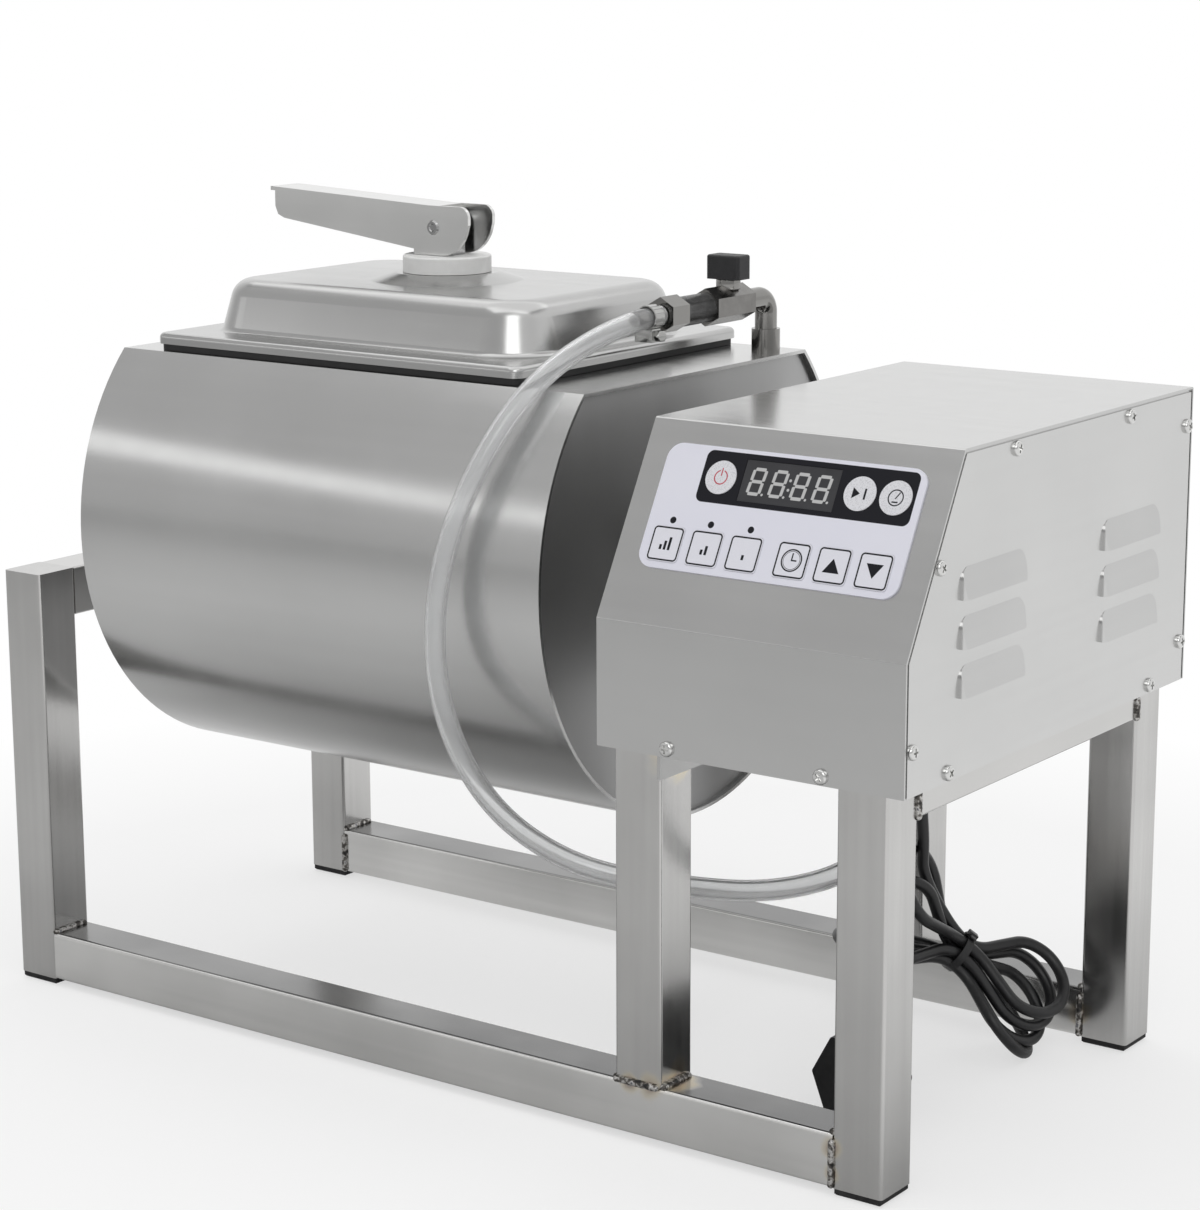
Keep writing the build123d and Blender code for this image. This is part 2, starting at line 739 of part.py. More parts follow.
# Box cover: front, slope, top and rear bent from one sheet, with screw flanges inside its ends
box_corners = [
    (-box_half, box_bottom),
    (-box_half, box_bend_height),
    (-box_half + slope_depth, box_top),
    (box_half, box_top),
    (box_half, box_bottom),
]
skin_corners = shifted(box_corners, sheet)
panel_corners = shifted(box_corners, sheet + panel_gap)
flange_corners = shifted(box_corners, sheet + flange_width)
cover_section = sheet_outline(box_corners) - sheet_outline(skin_corners)
cover = extrude(side_plane(box_left) * cover_section, box_length)
bends = [
    e for e in cover.edges().filter_by(Axis.X)
    if e.center().Z > box_bottom + bend_radius and e.center().Z > deck_top
    and any(math.hypot(e.center().Y - y, e.center().Z - z) < sheet / 2 for y, z in box_corners)
]
cover = fillet(bends, bend_radius)
flange_section = sheet_outline(skin_corners) - sheet_outline(flange_corners)
for x0 in (box_left + sheet, box_right - 2 * sheet):
    cover = cover + extrude(side_plane(x0) * flange_section, sheet)

# The slope's own plane: local x along the box, local y up the slope
slope_run = math.hypot(slope_depth, box_top - box_bend_height)
slope_out = (0, -(box_top - box_bend_height) / slope_run, slope_depth / slope_run)
slope_plane = Plane(origin=(box_mid, -box_half, box_bend_height), x_dir=(1, 0, 0), z_dir=slope_out)
keypad_plane = slope_plane * Pos(0, keypad_along, 0)
display_hole = keypad_plane * Pos(0, round_row, -display_depth / 2) * Box(
    display_width + 2 * display_gap, display_height + 2 * display_gap, 2 * display_depth
)
cover = cover - display_hole

# Screws through the cover's front and rear into the deck's lips
deck_screw_z = box_bottom + 4.8
deck_screw_x = (inner_leg_right + panel_screw_inset, frame_right - tube - panel_screw_inset)
cover_screws = []
for side in (-1, 1):
    for x in deck_screw_x:
        place = (x, side * box_half, deck_screw_z)
        cover_screws.append(screw(place, (0, side, 0)))
        cover = cover - rod(place, (0, -side, 0), screw_radius + hole_clearance, screw_length + 1)

# Eight screws round the right side panel
panel_face = box_right
slope_mid = (-box_half + slope_depth * 0.465, box_bend_height + (box_top - box_bend_height) * 0.465)
slope_inset = (
    slope_mid[0] - slope_out[1] * panel_screw_inset,
    slope_mid[1] - slope_out[2] * panel_screw_inset,
)
panel_screw_places = [
    (-50.0, box_top - panel_screw_inset),
    (79.5, box_top - panel_screw_inset),
    (box_half - panel_screw_inset, box_top - 3.1 * panel_screw_inset),
    (box_half - panel_screw_inset, box_bottom + 3.3 * panel_screw_inset),
    slope_inset,
    (-box_half + panel_screw_inset, box_bottom + 3.35 * panel_screw_inset),
    (-115.0, deck_screw_z),
    (114.0, deck_screw_z),
]
panel_section = sheet_outline(panel_corners)
right_panel = extrude(side_plane(box_right - sheet) * panel_section, sheet)
for y, z in panel_screw_places:
    place = (panel_face, y, z)
    cover_screws.append(screw(place, (1, 0, 0)))
    hole = rod(place, (-1, 0, 0), screw_radius + hole_clearance, screw_length + 1)
    right_panel = right_panel - hole
    cover = cover - hole
save("box_cover", cover)

# Louvres pressed outwards, open at their lower edge
louvre_side = [(0, louvre_height), (louvre_depth, 0), (0, 0)]
hollow_side = [(0, louvre_height - sheet), (sheet, louvre_height - 2 * sheet), (louvre_depth, 0), (0, 0)]
for y in louvre_y:
    for z in louvre_z:
        foot_z = z - louvre_height / 2
        side_y = y + louvre_length / 2
        plane = Plane(origin=(panel_face, side_y, foot_z), x_dir=(1, 0, 0), z_dir=(0, -1, 0))
        wedge = extrude(plane * make_face(Polyline(*louvre_side, close=True)), louvre_length)
        pad_plane = Plane(origin=(panel_face, y, foot_z), x_dir=(0, 1, 0), z_dir=(1, 0, 0))
        pad_outline = RectangleRounded(louvre_length, 2 * louvre_height, louvre_corner)
        pad = extrude(pad_plane * pad_outline, louvre_depth)
        pad = fillet(pad.edges().group_by(Axis.X)[-1], louvre_round)
        cut = Plane(origin=(panel_face - sheet, side_y - 2 * sheet, foot_z - 0.01), x_dir=(1, 0, 0), z_dir=(0, -1, 0))
        hollow = extrude(cut * make_face(Polyline(*hollow_side, close=True)), louvre_length - 4 * sheet)
        right_panel = right_panel + (wedge & pad) - hollow
save("right_side_panel", right_panel)

# Left side panel, with a hole that the drive shaft passes through
left_panel = extrude(side_plane(box_left) * panel_section, sheet)
shaft_hole = rod((box_left, 0, axis_height), (1, 0, 0), shaft_radius * 1.6, sheet)
save("left_side_panel", left_panel - shaft_hole)

# Deck tray on the outer cross bar, with lips turned down on all four sides
tray_half = box_half - sheet
tray_right = box_right - 2 * sheet - sliding_gap
tray = block(inner_leg_right, tray_right, -tray_half, tray_half, deck_bottom, deck_top)
for side in (-1, 1):
    y0, y1 = sorted((side * tray_half, side * (tray_half - tray_sheet)))
    tray = tray + block(inner_leg_right, tray_right, y0, y1, deck_bottom - tray_lip, deck_top)
right_lip_x = tray_right - tray_sheet
tray = tray + block(right_lip_x, tray_right, -tray_half, tray_half, deck_bottom - tray_lip, deck_top)
back_x = inner_leg_right + tray_sheet
tray = tray + block(inner_leg_right, back_x, -tray_half, tray_half, deck_bottom - tray_back_lip, deck_top)
for side in (-1, 1):
    for x in deck_screw_x:
        tray = tray - rod((x, side * box_half, deck_screw_z), (0, -side, 0), screw_radius + hole_clearance, screw_length + 1)
for y, z in panel_screw_places:
    tray = tray - rod((panel_face, y, z), (-1, 0, 0), screw_radius + hole_clearance, screw_length + 1)
tray = tray - rod((bulk_x, bulkhead_y, deck_bottom), (0, 0, 1), tail_radius + 2, tray_sheet)
cord_x = inner_leg_right + gland_x
tray = tray - rod((cord_x, gland_y, deck_bottom), (0, 0, 1), gland_radius * 0.7, tray_sheet)
save("deck_tray", tray)
save("cover_screws", *cover_screws)

# Keypad overlay with openings for the keys and the display
overlay = extrude(keypad_plane * RectangleRounded(keypad_width, keypad_height, keypad_corner), keypad_thickness)
key_back = keypad_thickness + key_proud - key_thickness
for name, share in round_keys.items():
    place = keypad_plane * Pos(share * keypad_width, round_row, 0)
    overlay = overlay - extrude(place * Circle(round_key + key_gap), keypad_thickness)
    save(name, extrude(place * Pos(0, 0, key_back) * Circle(round_key), key_thickness))
for name, share in square_keys.items():
    place = keypad_plane * Pos(share * keypad_width, square_row, 0)
    grown = square_key + 2 * key_gap
    opening = RectangleRounded(grown, grown, square_key_corner + key_gap)
    overlay = overlay - extrude(place * opening, keypad_thickness)
    pad = RectangleRounded(square_key, square_key, square_key_corner)
    save(name, extrude(place * Pos(0, 0, key_back) * pad, key_thickness))
save("keypad_panel", overlay - display_hole)

# Display behind its window, and the control board with its standoffs
display_front = keypad_thickness - display_sink
display = keypad_plane * Pos(0, round_row, (display_front - display_depth) / 2) * Box(
    display_width, display_height, display_front + display_depth
)
save("display_module", display)
board = keypad_plane * Pos(0, 0, -display_depth - board_thickness / 2) * Box(board_width, board_height, board_thickness)
for x in (-0.45 * board_width, 0.45 * board_width):
    for y in (-0.42 * board_height, 0.42 * board_height):
        post = keypad_plane * Pos(x, y, -sheet)
        board = board + extrude(post * Circle(standoff_radius), -(display_depth - sheet))
for x in (-0.3 * board_width, 0.0, 0.3 * board_width):
    relay = Pos(x, 0, -display_depth - board_thickness - relay_height / 2)
    board = board + keypad_plane * relay * Box(relay_size, relay_size, relay_height)
save("control_board", board)

# Worm gearbox on the deck, its hollow shaft round the drum's shaft
gear_half = gearbox_width / 2
gearbox = block(gearbox_left, gearbox_right, -gear_half, gear_half, deck_top, axis_height + gearbox_rise)
gearbox = fillet(gearbox.edges().filter_by(Axis.X).group_by(Axis.Z)[-1], gear_half / 2)
gear_bore = rod((gearbox_left, 0, axis_height), (1, 0, 0), shaft_radius + running_clearance, gearbox_length)
save("gearbox", gearbox - gear_bore)

# Drive motor on the gearbox's rear side
motor_x = (gearbox_left + gearbox_right) / 2
motor_z = deck_top + motor_lift + motor_radius
motor = rod((motor_x, gear_half, motor_z), (0, 1, 0), motor_radius, motor_length)
save("drive_motor", fillet(motor.edges().group_by(Axis.Y)[-1], motor_radius / 4))

# Vacuum pump: motor on a foot, and the diaphragm head with its nozzle
pump_left = inner_leg_right + pump_x
pump_z = deck_top + pump_foot + pump_radius
pump = rod((pump_left, pump_y, pump_z), (-1, 0, 0), pump_radius, pump_length * 0.75)
pump = pump + block(
    pump_left - pump_length * 0.7, pump_left,
    pump_y - pump_radius, pump_y + pump_radius,
    deck_top, deck_top + pump_foot,
)
pump = pump + block(
    pump_left - pump_length * 0.7, pump_left,
    pump_y - pump_radius * 0.4, pump_y + pump_radius * 0.4,
    deck_top, pump_z,
)
save("vacuum_pump", pump)
head_half = pump_head_width / 2
head = block(
    pump_left, pump_left + pump_head_length,
    pump_y - head_half, pump_y + head_half,
    deck_top, deck_top + pump_head_height,
)
head = fillet(head.edges().filter_by(Axis.X), head_half / 4)
nozzle = (pump_left + pump_head_length, pump_y, deck_top + pump_head_height * 0.75)
save("pump_head", head + rod(nozzle, (1, 0, 0), nozzle_radius, nozzle_length))

# Cable gland under the deck, with a tapered boot that spares the cord a sharp bend
gland = rod((cord_x, gland_y, deck_bottom), (0, 0, -1), gland_radius, gland_length)
gland = chamfer(gland.edges().group_by(Axis.Z)[0], gland_radius / 4)
gland = gland + rod((cord_x, gland_y, deck_bottom), (0, 0, 1), gland_radius * 0.7, tray_sheet)
gland = gland + hex_bar((cord_x, gland_y, deck_top), (0, 0, 1), 2 * gland_radius, bolt_head)
gland_bottom = deck_bottom - gland_length - boot_length
boot = Pos(cord_x, gland_y, gland_bottom + boot_length / 2) * Cone(boot_tip, boot_top, boot_length)
gland = gland + boot
gland_hole = gland_length + boot_length + tray_sheet + bolt_head
save("cable_gland", gland - rod((cord_x, gland_y, gland_bottom), (0, 0, 1), cord_radius, gland_hole))

# Tied hank of spare cord: one flat leaf for each loop, round a waist that the tie holds
hank_place = Pos(inner_leg_right + hank_x, hank_y, hank_z) * Rot(0, 0, hank_turn) * Rot(0, hank_lean, 0)
hank = rod((-waist_length / 2, 0, 0), (1, 0, 0), hank_waist, waist_length)
for fan, tilt, roll, reach in hank_loops.values():
    loop_end = loop_half + cord_radius
    outline = make_hull((Circle(loop_root) + Pos(reach + cord_radius - loop_end, 0) * Circle(loop_end)).edges())
    leaf = extrude(outline, cord_radius, both=True)
    hank = hank + Rot(0, -fan, 0) * Rot(0, 0, tilt) * Rot(90 - roll, 0, 0) * leaf
hank = hank_place * hank
save("cord_hank", hank)
tie_start = (-tie_width / 2, 0, 0)
tie = rod(tie_start, (1, 0, 0), hank_waist + tie_band, tie_width)
save("cord_tie", hank_place * (tie - rod(tie_start, (1, 0, 0), hank_waist, tie_width)) - hank)

# Cord from the gland into the hank, and from the hank to the plug
cord_in = (hank_place * Pos(-loop_root, cord_radius, 2 * cord_radius)).position
cord_out = (hank_place * Pos(-loop_root, 0, -2 * cord_radius)).position
cord_drop = (deck_bottom - hank_z) / 9
cord_points = [
    (cord_x, gland_y, deck_bottom),
    (cord_x, gland_y, deck_bottom - 2 * cord_drop),
    (cord_x + 0.5, gland_y + 0.5, deck_bottom - 4 * cord_drop),
    (cord_x + 2, gland_y + 2, deck_bottom - 5.4 * cord_drop),
    (cord_x - 0.5, gland_y + 4.5, deck_bottom - 6.5 * cord_drop),
    (cord_in.X, cord_in.Y, cord_in.Z),
]
plug_mid = (inner_leg_right + plug_x, plug_y)
plug_back = plug_y + plug_depth / 2
lead_points = [
    (cord_out.X, cord_out.Y, cord_out.Z),
    (cord_out.X - 37, cord_out.Y - 19, cord_out.Z + 2),
    (cord_out.X - 38, cord_out.Y - 45, cord_out.Z - 12),
    (plug_mid[0] - 21, plug_back + 32, plug_height / 2 + 13),
    (plug_mid[0], plug_back + 20, plug_height / 2),
    (plug_mid[0], plug_back, plug_height / 2),
]
cord = cord_tube("mains_cord", cord_points, cord_radius) - hank
lead = cord_tube("plug_lead", lead_points, cord_radius) - hank
save("mains_cord", cord.solids().sort_by(SortBy.VOLUME)[-1], lead.solids().sort_by(SortBy.VOLUME)[-1])

# Moulded plug on the floor, its nose to the left and its prongs to the right
plug_left = -plug_width / 2
plug_right = plug_width / 2
plug_outline = [
    (plug_left, plug_height * 0.53),
    (plug_left + plug_point, plug_height),
    (plug_right - plug_bevel, plug_height),
    (plug_right, plug_height - plug_bevel),
    (plug_right, plug_bevel),
    (plug_right - plug_bevel, 0),
    (plug_left + plug_point * 0.8, 0),
]
plug_plane = Plane(origin=(plug_mid[0], plug_back, 0), x_dir=(1, 0, 0), z_dir=(0, -1, 0))
plug = extrude(plug_plane * make_face(Polyline(*plug_outline, close=True)), plug_depth)
plug = fillet(plug.edges().filter_by(Axis.Y), plug_bevel / 4)
for y in (-plug_depth / 5, plug_depth / 5):
    prong = (plug_mid[0] + plug_right, plug_y + y, plug_height / 2)
    plug = plug + rod(prong, (1, 0, 0), prong_radius, prong_reach)
save("mains_plug", plug)

print(len(part_names), "nodes")
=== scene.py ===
import bpy
import bmesh
import math
from mathutils import Matrix, Vector


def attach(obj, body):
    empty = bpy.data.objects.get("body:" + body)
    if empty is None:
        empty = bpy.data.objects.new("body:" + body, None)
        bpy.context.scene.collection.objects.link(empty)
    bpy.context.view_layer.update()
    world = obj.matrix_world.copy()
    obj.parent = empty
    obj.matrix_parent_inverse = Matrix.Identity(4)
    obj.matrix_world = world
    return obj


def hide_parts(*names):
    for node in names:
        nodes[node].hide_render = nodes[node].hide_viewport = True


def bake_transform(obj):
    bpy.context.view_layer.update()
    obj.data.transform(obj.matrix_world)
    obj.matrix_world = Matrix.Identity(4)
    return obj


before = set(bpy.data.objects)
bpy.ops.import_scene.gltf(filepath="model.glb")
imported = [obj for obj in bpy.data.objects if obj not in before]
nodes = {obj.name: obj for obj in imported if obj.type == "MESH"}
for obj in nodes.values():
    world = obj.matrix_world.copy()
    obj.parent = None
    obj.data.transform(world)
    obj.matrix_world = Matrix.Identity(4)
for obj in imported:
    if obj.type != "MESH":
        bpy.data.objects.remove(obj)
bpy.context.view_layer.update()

# ---------------------------------------------------------------------------
# Square-tube frame. Stainless tube, 30 mm square, cut and welded: two rails,
# six uprights and three cross bars, each with its mill grain along the tube.


class Wire:
    """A shader socket that takes part in Python expressions."""

    def __init__(self, tree, out=None):
        self.tree = tree
        self.out = out

    def add(self, kind, sockets=(), pick=0, stops=(), **settings):
        """Adds a node of a kind: its settings first, then its sockets' values or links."""
        node = self.tree.nodes.new("ShaderNode" + kind)
        for name, value in settings.items():
            setattr(node, name, value)
        for number, (position, colour) in enumerate(stops):
            ramp = node.color_ramp.elements
            stop = ramp[number] if number < len(ramp) else ramp.new(position)
            stop.position = position
            stop.color = (*colour, 1.0)
        for key, value in dict(sockets).items():
            if isinstance(value, Wire):
                self.tree.links.new(value.out, node.inputs[key])
            else:
                node.inputs[key].default_value = value
        return Wire(self.tree, node.outputs[pick])

    def other(self, name):
        """Another output of the same node."""
        return Wire(self.tree, self.out.node.outputs[name])

    def axes(self):
        """The x, y and z of a place or direction."""
        x = self.add("SeparateXYZ", {0: self})
        return x, x.other("Y"), x.other("Z")

    def maths(self, operation, *values):
        return self.add("Math", enumerate(values), operation=operation)

    def __add__(self, other):
        return self.maths("ADD", self, other)

    __radd__ = __add__

    def __sub__(self, other):
        return self.maths("SUBTRACT", self, other)

    def __rsub__(self, other):
        return self.maths("SUBTRACT", other, self)

    def __mul__(self, other):
        return self.maths("MULTIPLY", self, other)

    __rmul__ = __mul__

    def __truediv__(self, other):
        return self.maths("DIVIDE", self, other)

    def __abs__(self):
        return self.maths("ABSOLUTE", self)

    def most(self, other):
        return self.maths("MAXIMUM", self, other)

    def least(self, other):
        return self.maths("MINIMUM", self, other)

    def root(self):
        return self.maths("SQRT", self)

    def held(self):
        """The value kept between 0 and 1."""
        return self.maths("MINIMUM", self.maths("MAXIMUM", self, 0.0), 1.0)

    def paint(self, under, over):
        """Two colours, the second where this mask is 1."""
        colours = {"Factor": self}
        for key, value in ((6, under), (7, over)):
            colours[key] = value if isinstance(value, Wire) else (*value, 1.0)
        return self.add("Mix", colours, pick=2, data_type="RGBA")


def new_finish(name, **constants):
    """An empty material: itself, its shader, and a wire to its object coordinates."""
    finish = bpy.data.materials.new(name)
    finish.use_nodes = True
    tree = finish.node_tree
    shader = tree.nodes["Principled BSDF"]
    for socket, value in constants.items():
        shader.inputs[socket.replace("_", " ")].default_value = value
    place = Wire(tree).add("TexCoord", pick="Object")
    return finish, shader, place


def feed(shader, **wires):
    """Links wires to the shader's sockets."""
    for socket, wire in wires.items():
        wire.tree.links.new(wire.out, shader.inputs[socket.replace("_", " ")])


STRAW = (0.78, 0.68, 0.48)
BROWN = (0.55, 0.46, 0.36)
BLUE_GREY = (0.34, 0.34, 0.40)
# painted shade on the rails' tops: its dark grey, and how soft its edge is
PAINTED_RAIL_SHADE = (0.20, 0.20, 0.20)
PAINTED_SHADE_EDGE = 0.00025


def brushed_steel(
    name, colour, rough, grain, depth=0.02, dull=0.90, tints=(), painted_shade_above=None, **constants
):
    """Stainless steel with a grain: how fine it is along x, y and z, per metre.

    Dull is the share of its colour in its duller patches. Tints are weld burns, each a spot
    and its reach; above a height lies a painted shade, a mottled dark grey.
    """
    finish, shader, place = new_finish(name, Metallic=1.0, **constants)
    stretched = place.add("Mapping", {"Vector": place, "Scale": grain})
    lines = place.add("TexNoise", {"Vector": stretched, "Scale": 1.0, "Detail": 2.0})
    smears = place.add("TexNoise", {"Vector": place, "Scale": 9.0, "Detail": 3.0})
    rub = place.add("TexNoise", {"Vector": place, "Scale": 70.0, "Detail": 3.0})
    patchy = tuple(dull * c for c in colour)
    shade = (0.5 * lines + 1.6 * smears - 0.55).held().paint(patchy, colour)
    # painted shade: above that height the colour is painted dark grey, for the shade and dark
    # reflections on the tops of the rails
    if painted_shade_above is not None:
        height = place.axes()[2]
        film = ((height - painted_shade_above) / PAINTED_SHADE_EDGE).held() * (0.7 + 0.5 * smears).held()
        shade = film.paint(shade, PAINTED_RAIL_SHADE)
    for spot, reach in tints:
        gap = place.add("VectorMath", {0: place, 1: spot}, pick="Value", operation="DISTANCE")
        heat = (1.0 - gap / reach + 0.9 * (rub - 0.5)).held()
        burnt = place.add(
            "ValToRGB", {0: heat},
            stops=((0.0, colour), (0.35, STRAW), (0.65, BROWN), (0.95, BLUE_GREY)),
        )
        shade = (1.2 * heat).held().paint(shade, burnt)
    feed(
        shader,
        Base_Color=shade,
        Roughness=rough + 0.06 * (lines - 0.5) + 0.10 * (smears - 0.5) + 0.04 * (rub - 0.5),
        Normal=place.add("Bump", {"Height": lines, "Strength": depth, "Distance": 0.0003}),
    )
    return finish


def dress(finish, *names):
    """Gives CAD nodes a finish."""
    for name in names:
        skins = nodes[name].data.materials
        skins.clear()
        skins.append(finish)


# painted light: the rails are coloured lighter than the posts, though they are the same tube, for
# the lit floor that they reflect
RAIL_STEEL_PAINTED_LIGHTER = (0.90, 0.895, 0.88)
POST_STEEL = (0.62, 0.615, 0.605)
TUBE_DULL = 0.74
RAIL_TOP = 0.0335
# where a weld has burnt the steel, and how far
weld_heat = (
    ((0.1480, -0.154, 0.034), 0.008),
    ((0.1620, -0.154, 0.034), 0.010),
    ((0.1690, -0.139, 0.034), 0.016),
    ((0.1535, 0.124, 0.034), 0.012),
    ((0.277, -0.154, 0.026), 0.008),
    ((0.277, -0.154, 0.012), 0.007),
    ((0.277, 0.124, 0.019), 0.010),
    ((0.1690, -0.139, 0.220), 0.020),
)
# painted light and shade: the rails' steel is painted lighter than the posts', and dark on its
# tops
rail_steel_painted_light_and_shade = brushed_steel(
    "rail_steel_painted_light_and_shade", RAIL_STEEL_PAINTED_LIGHTER, 0.20, (5, 200, 200),
    dull=TUBE_DULL, tints=weld_heat, painted_shade_above=RAIL_TOP,
)
post_steel = brushed_steel(
    "post_steel", POST_STEEL, 0.19, (200, 200, 5), dull=TUBE_DULL, tints=weld_heat
)
bar_steel = brushed_steel("cross_bar_steel", POST_STEEL, 0.20, (200, 5, 200))
dress(rail_steel_painted_light_and_shade, "front_rail", "rear_rail")
dress(post_steel, "left_posts", "inner_legs", "outer_legs")
dress(bar_steel, "left_top_bar", "inner_cross_bar", "outer_cross_bar")

# ---------------------------------------------------------------------------
# Weld beads where the tubes meet. TIG welds left as laid: a row of small
# overlapping puddles, bright on their crowns and sooty between them.


def clear_choice():
    """Leaves nothing selected, so that an operator acts only on the new piece."""
    bpy.ops.object.select_all(action="DESELECT")


def apply_modifiers(piece):
    """Applies a piece's modifiers in order."""
    clear_choice()
    bpy.context.view_layer.objects.active = piece
    piece.select_set(True)
    for step in [m.name for m in piece.modifiers]:
        bpy.ops.object.modifier_apply(modifier=step)


def settle(piece):
    """Puts a piece's place and turn into its mesh."""
    clear_choice()
    bpy.context.view_layer.objects.active = piece
    piece.select_set(True)
    bpy.ops.object.transform_apply(location=True, rotation=True, scale=True)


def joined(name, pieces):
    """One piece from several."""
    clear_choice()
    for piece in pieces:
        piece.select_set(True)
    bpy.context.view_layer.objects.active = pieces[0]
    bpy.ops.object.join()
    piece = bpy.context.view_layer.objects.active
    piece.name = name
    piece.data.name = name
    return piece


def smooth(piece, angle):
    """Smooth shading that keeps edges sharper than the angle."""
    clear_choice()
    bpy.context.view_layer.objects.active = piece
    piece.select_set(True)
    bpy.ops.object.shade_smooth_by_angle(angle=math.radians(angle))


def place_piece(piece, finish, body, slot, *stands_for):
    """Finish, body and the nodes that the piece stands for; the slot is not used."""
    piece.data.materials.clear()
    piece.data.materials.append(finish)
    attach(piece, body)
    if stands_for:
        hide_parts(*stands_for)


BEAD_PITCH = 0.0021
PUDDLE_SIZE = (0.002205, 0.0026, 0.00208)
BEAD_VOXEL = 0.0006


def weld_bead(start, end):
    """A run of puddles from start to end, merged into one skin."""
    run = Vector(end) - Vector(start)
    clear_choice()
    bpy.ops.mesh.primitive_uv_sphere_add(segments=14, ring_count=8, radius=1.0)
    bead = bpy.context.object
    bead.scale = PUDDLE_SIZE
    settle(bead)
    row = bead.modifiers.new("row", "ARRAY")
    row.use_relative_offset = False
    row.use_constant_offset = True
    row.constant_offset_displace = (BEAD_PITCH, 0.0, 0.0)
    row.count = max(3, int(run.length / BEAD_PITCH))
    skin = bead.modifiers.new("skin", "REMESH")
    skin.mode = "VOXEL"
    skin.voxel_size = BEAD_VOXEL
    apply_modifiers(bead)
    bead.location = start
    bead.rotation_mode = "QUATERNION"
    bead.rotation_quaternion = run.to_track_quat("X", "Z")
    settle(bead)
    return bead


weld_runs = [
    ((0.1385, -0.152, 0.0345), (0.1385, -0.126, 0.0345)),
    ((0.1690, -0.152, 0.0345), (0.1690, -0.126, 0.0345)),
    ((0.1400, -0.1541, 0.0342), (0.1675, -0.1541, 0.0342)),
    ((0.1385, 0.126, 0.0345), (0.1385, 0.152, 0.0345)),
    ((0.1400, 0.1241, 0.0342), (0.1675, 0.1241, 0.0342)),
    ((0.2768, -0.1541, 0.006), (0.2768, -0.1541, 0.033)),
    ((0.2768, -0.152, 0.0345), (0.2768, -0.126, 0.0345)),
    ((0.2768, 0.1239, 0.006), (0.2768, 0.1239, 0.033)),
    ((0.2768, 0.126, 0.0345), (0.2768, 0.152, 0.0345)),
    ((-0.2920, -0.152, 0.0345), (-0.2920, -0.126, 0.0345)),
    ((-0.2920, 0.1239, 0.006), (-0.2920, 0.1239, 0.033)),
    ((-0.2920, 0.126, 0.0345), (-0.2920, 0.152, 0.0345)),
    ((0.3073, -0.1239, 0.203), (0.3073, -0.1239, 0.2305)),
    ((0.3073, 0.1239, 0.203), (0.3073, 0.1239, 0.2305)),
    ((0.1385, -0.1239, 0.234), (0.1385, -0.1239, 0.261)),
    ((0.1385, 0.1239, 0.234), (0.1385, 0.1239, 0.261)),
]
welds = joined("frame_welds", [weld_bead(*ends) for ends in weld_runs])
smooth(welds, 60)

bead_metal, shader, place = new_finish("weld_bead_metal", Metallic=1.0)
puddles = place.add("TexNoise", {"Vector": place, "Scale": 420.0, "Detail": 4.0})
soot = place.add("TexNoise", {"Vector": place, "Scale": 300.0, "Detail": 3.0})
burnt = place.add(
    "ValToRGB", {0: 1.8 * soot - 0.4},
    stops=(
        (0.2, (0.04, 0.04, 0.04)), (0.45, (0.14, 0.13, 0.12)),
        (0.62, (0.62, 0.61, 0.59)), (0.85, (0.16, 0.16, 0.18)),
    ),
)
feed(
    shader,
    Base_Color=burnt,
    Roughness=0.24 + 0.4 * puddles,
    Normal=place.add("Bump", {"Height": puddles, "Strength": 0.5, "Distance": 0.0006}),
)
place_piece(welds, bead_metal, "base", "frame_steel")

# ---------------------------------------------------------------------------
# Feet. Black rubber pads, moulded and pressed on under the four corner
# uprights, scuffed grey where they rub the bench.

foot_rubber, shader, place = new_finish("foot_rubber", Specular_IOR_Level=0.35)
scuffs = place.add("TexNoise", {"Vector": place, "Scale": 160.0, "Detail": 6.0, "Roughness": 0.7})
feed(
    shader,
    Base_Color=(2.2 * scuffs - 0.9).held().paint((0.012, 0.012, 0.013), (0.05, 0.05, 0.05)),
    Roughness=0.55 + 0.3 * scuffs,
    Normal=place.add("Bump", {"Height": scuffs, "Strength": 0.3, "Distance": 0.0004}),
)
dress(foot_rubber, "leg_feet")

# ---------------------------------------------------------------------------
# Pillow blocks and bearings. Grey cast housings bolted to the cross bars with
# zinc hexagon bolts; each holds a ball-bearing insert round the drum's shaft.

cast_paint, shader, place = new_finish("cast_housing_paint", Coat_Roughness=0.3)
sand = place.add("TexNoise", {"Vector": place, "Scale": 900.0, "Detail": 5.0})
patches = place.add("TexNoise", {"Vector": place, "Scale": 60.0, "Detail": 4.0})
feed(
    shader,
    Base_Color=patches.paint((0.10, 0.12, 0.13), (0.16, 0.18, 0.19)),
    Roughness=0.4 + 0.2 * sand,
    Normal=place.add("Bump", {"Height": sand, "Strength": 0.35, "Distance": 0.0006}),
)
dress(cast_paint, "left_pillow_block", "right_pillow_block")
bolt_zinc = brushed_steel("bolt_zinc", (0.56, 0.56, 0.54), 0.34, (500, 500, 500))
dress(bolt_zinc, "block_bolts")
bearing_steel = brushed_steel("bearing_steel", (0.66, 0.66, 0.66), 0.2, (60, 700, 700))
dress(bearing_steel, "bearing_inserts")

# ---------------------------------------------------------------------------
# Drum. Stainless sheet rolled to a barrel with one flat side, seam welded, and
# closed by discs set in behind its rims; baffles and shafts are welded in.

drum_steel = brushed_steel("drum_steel", (0.61, 0.61, 0.605), 0.21, (3, 120, 120), depth=0.012)
dress(drum_steel, "drum_shell", "drum_baffles")
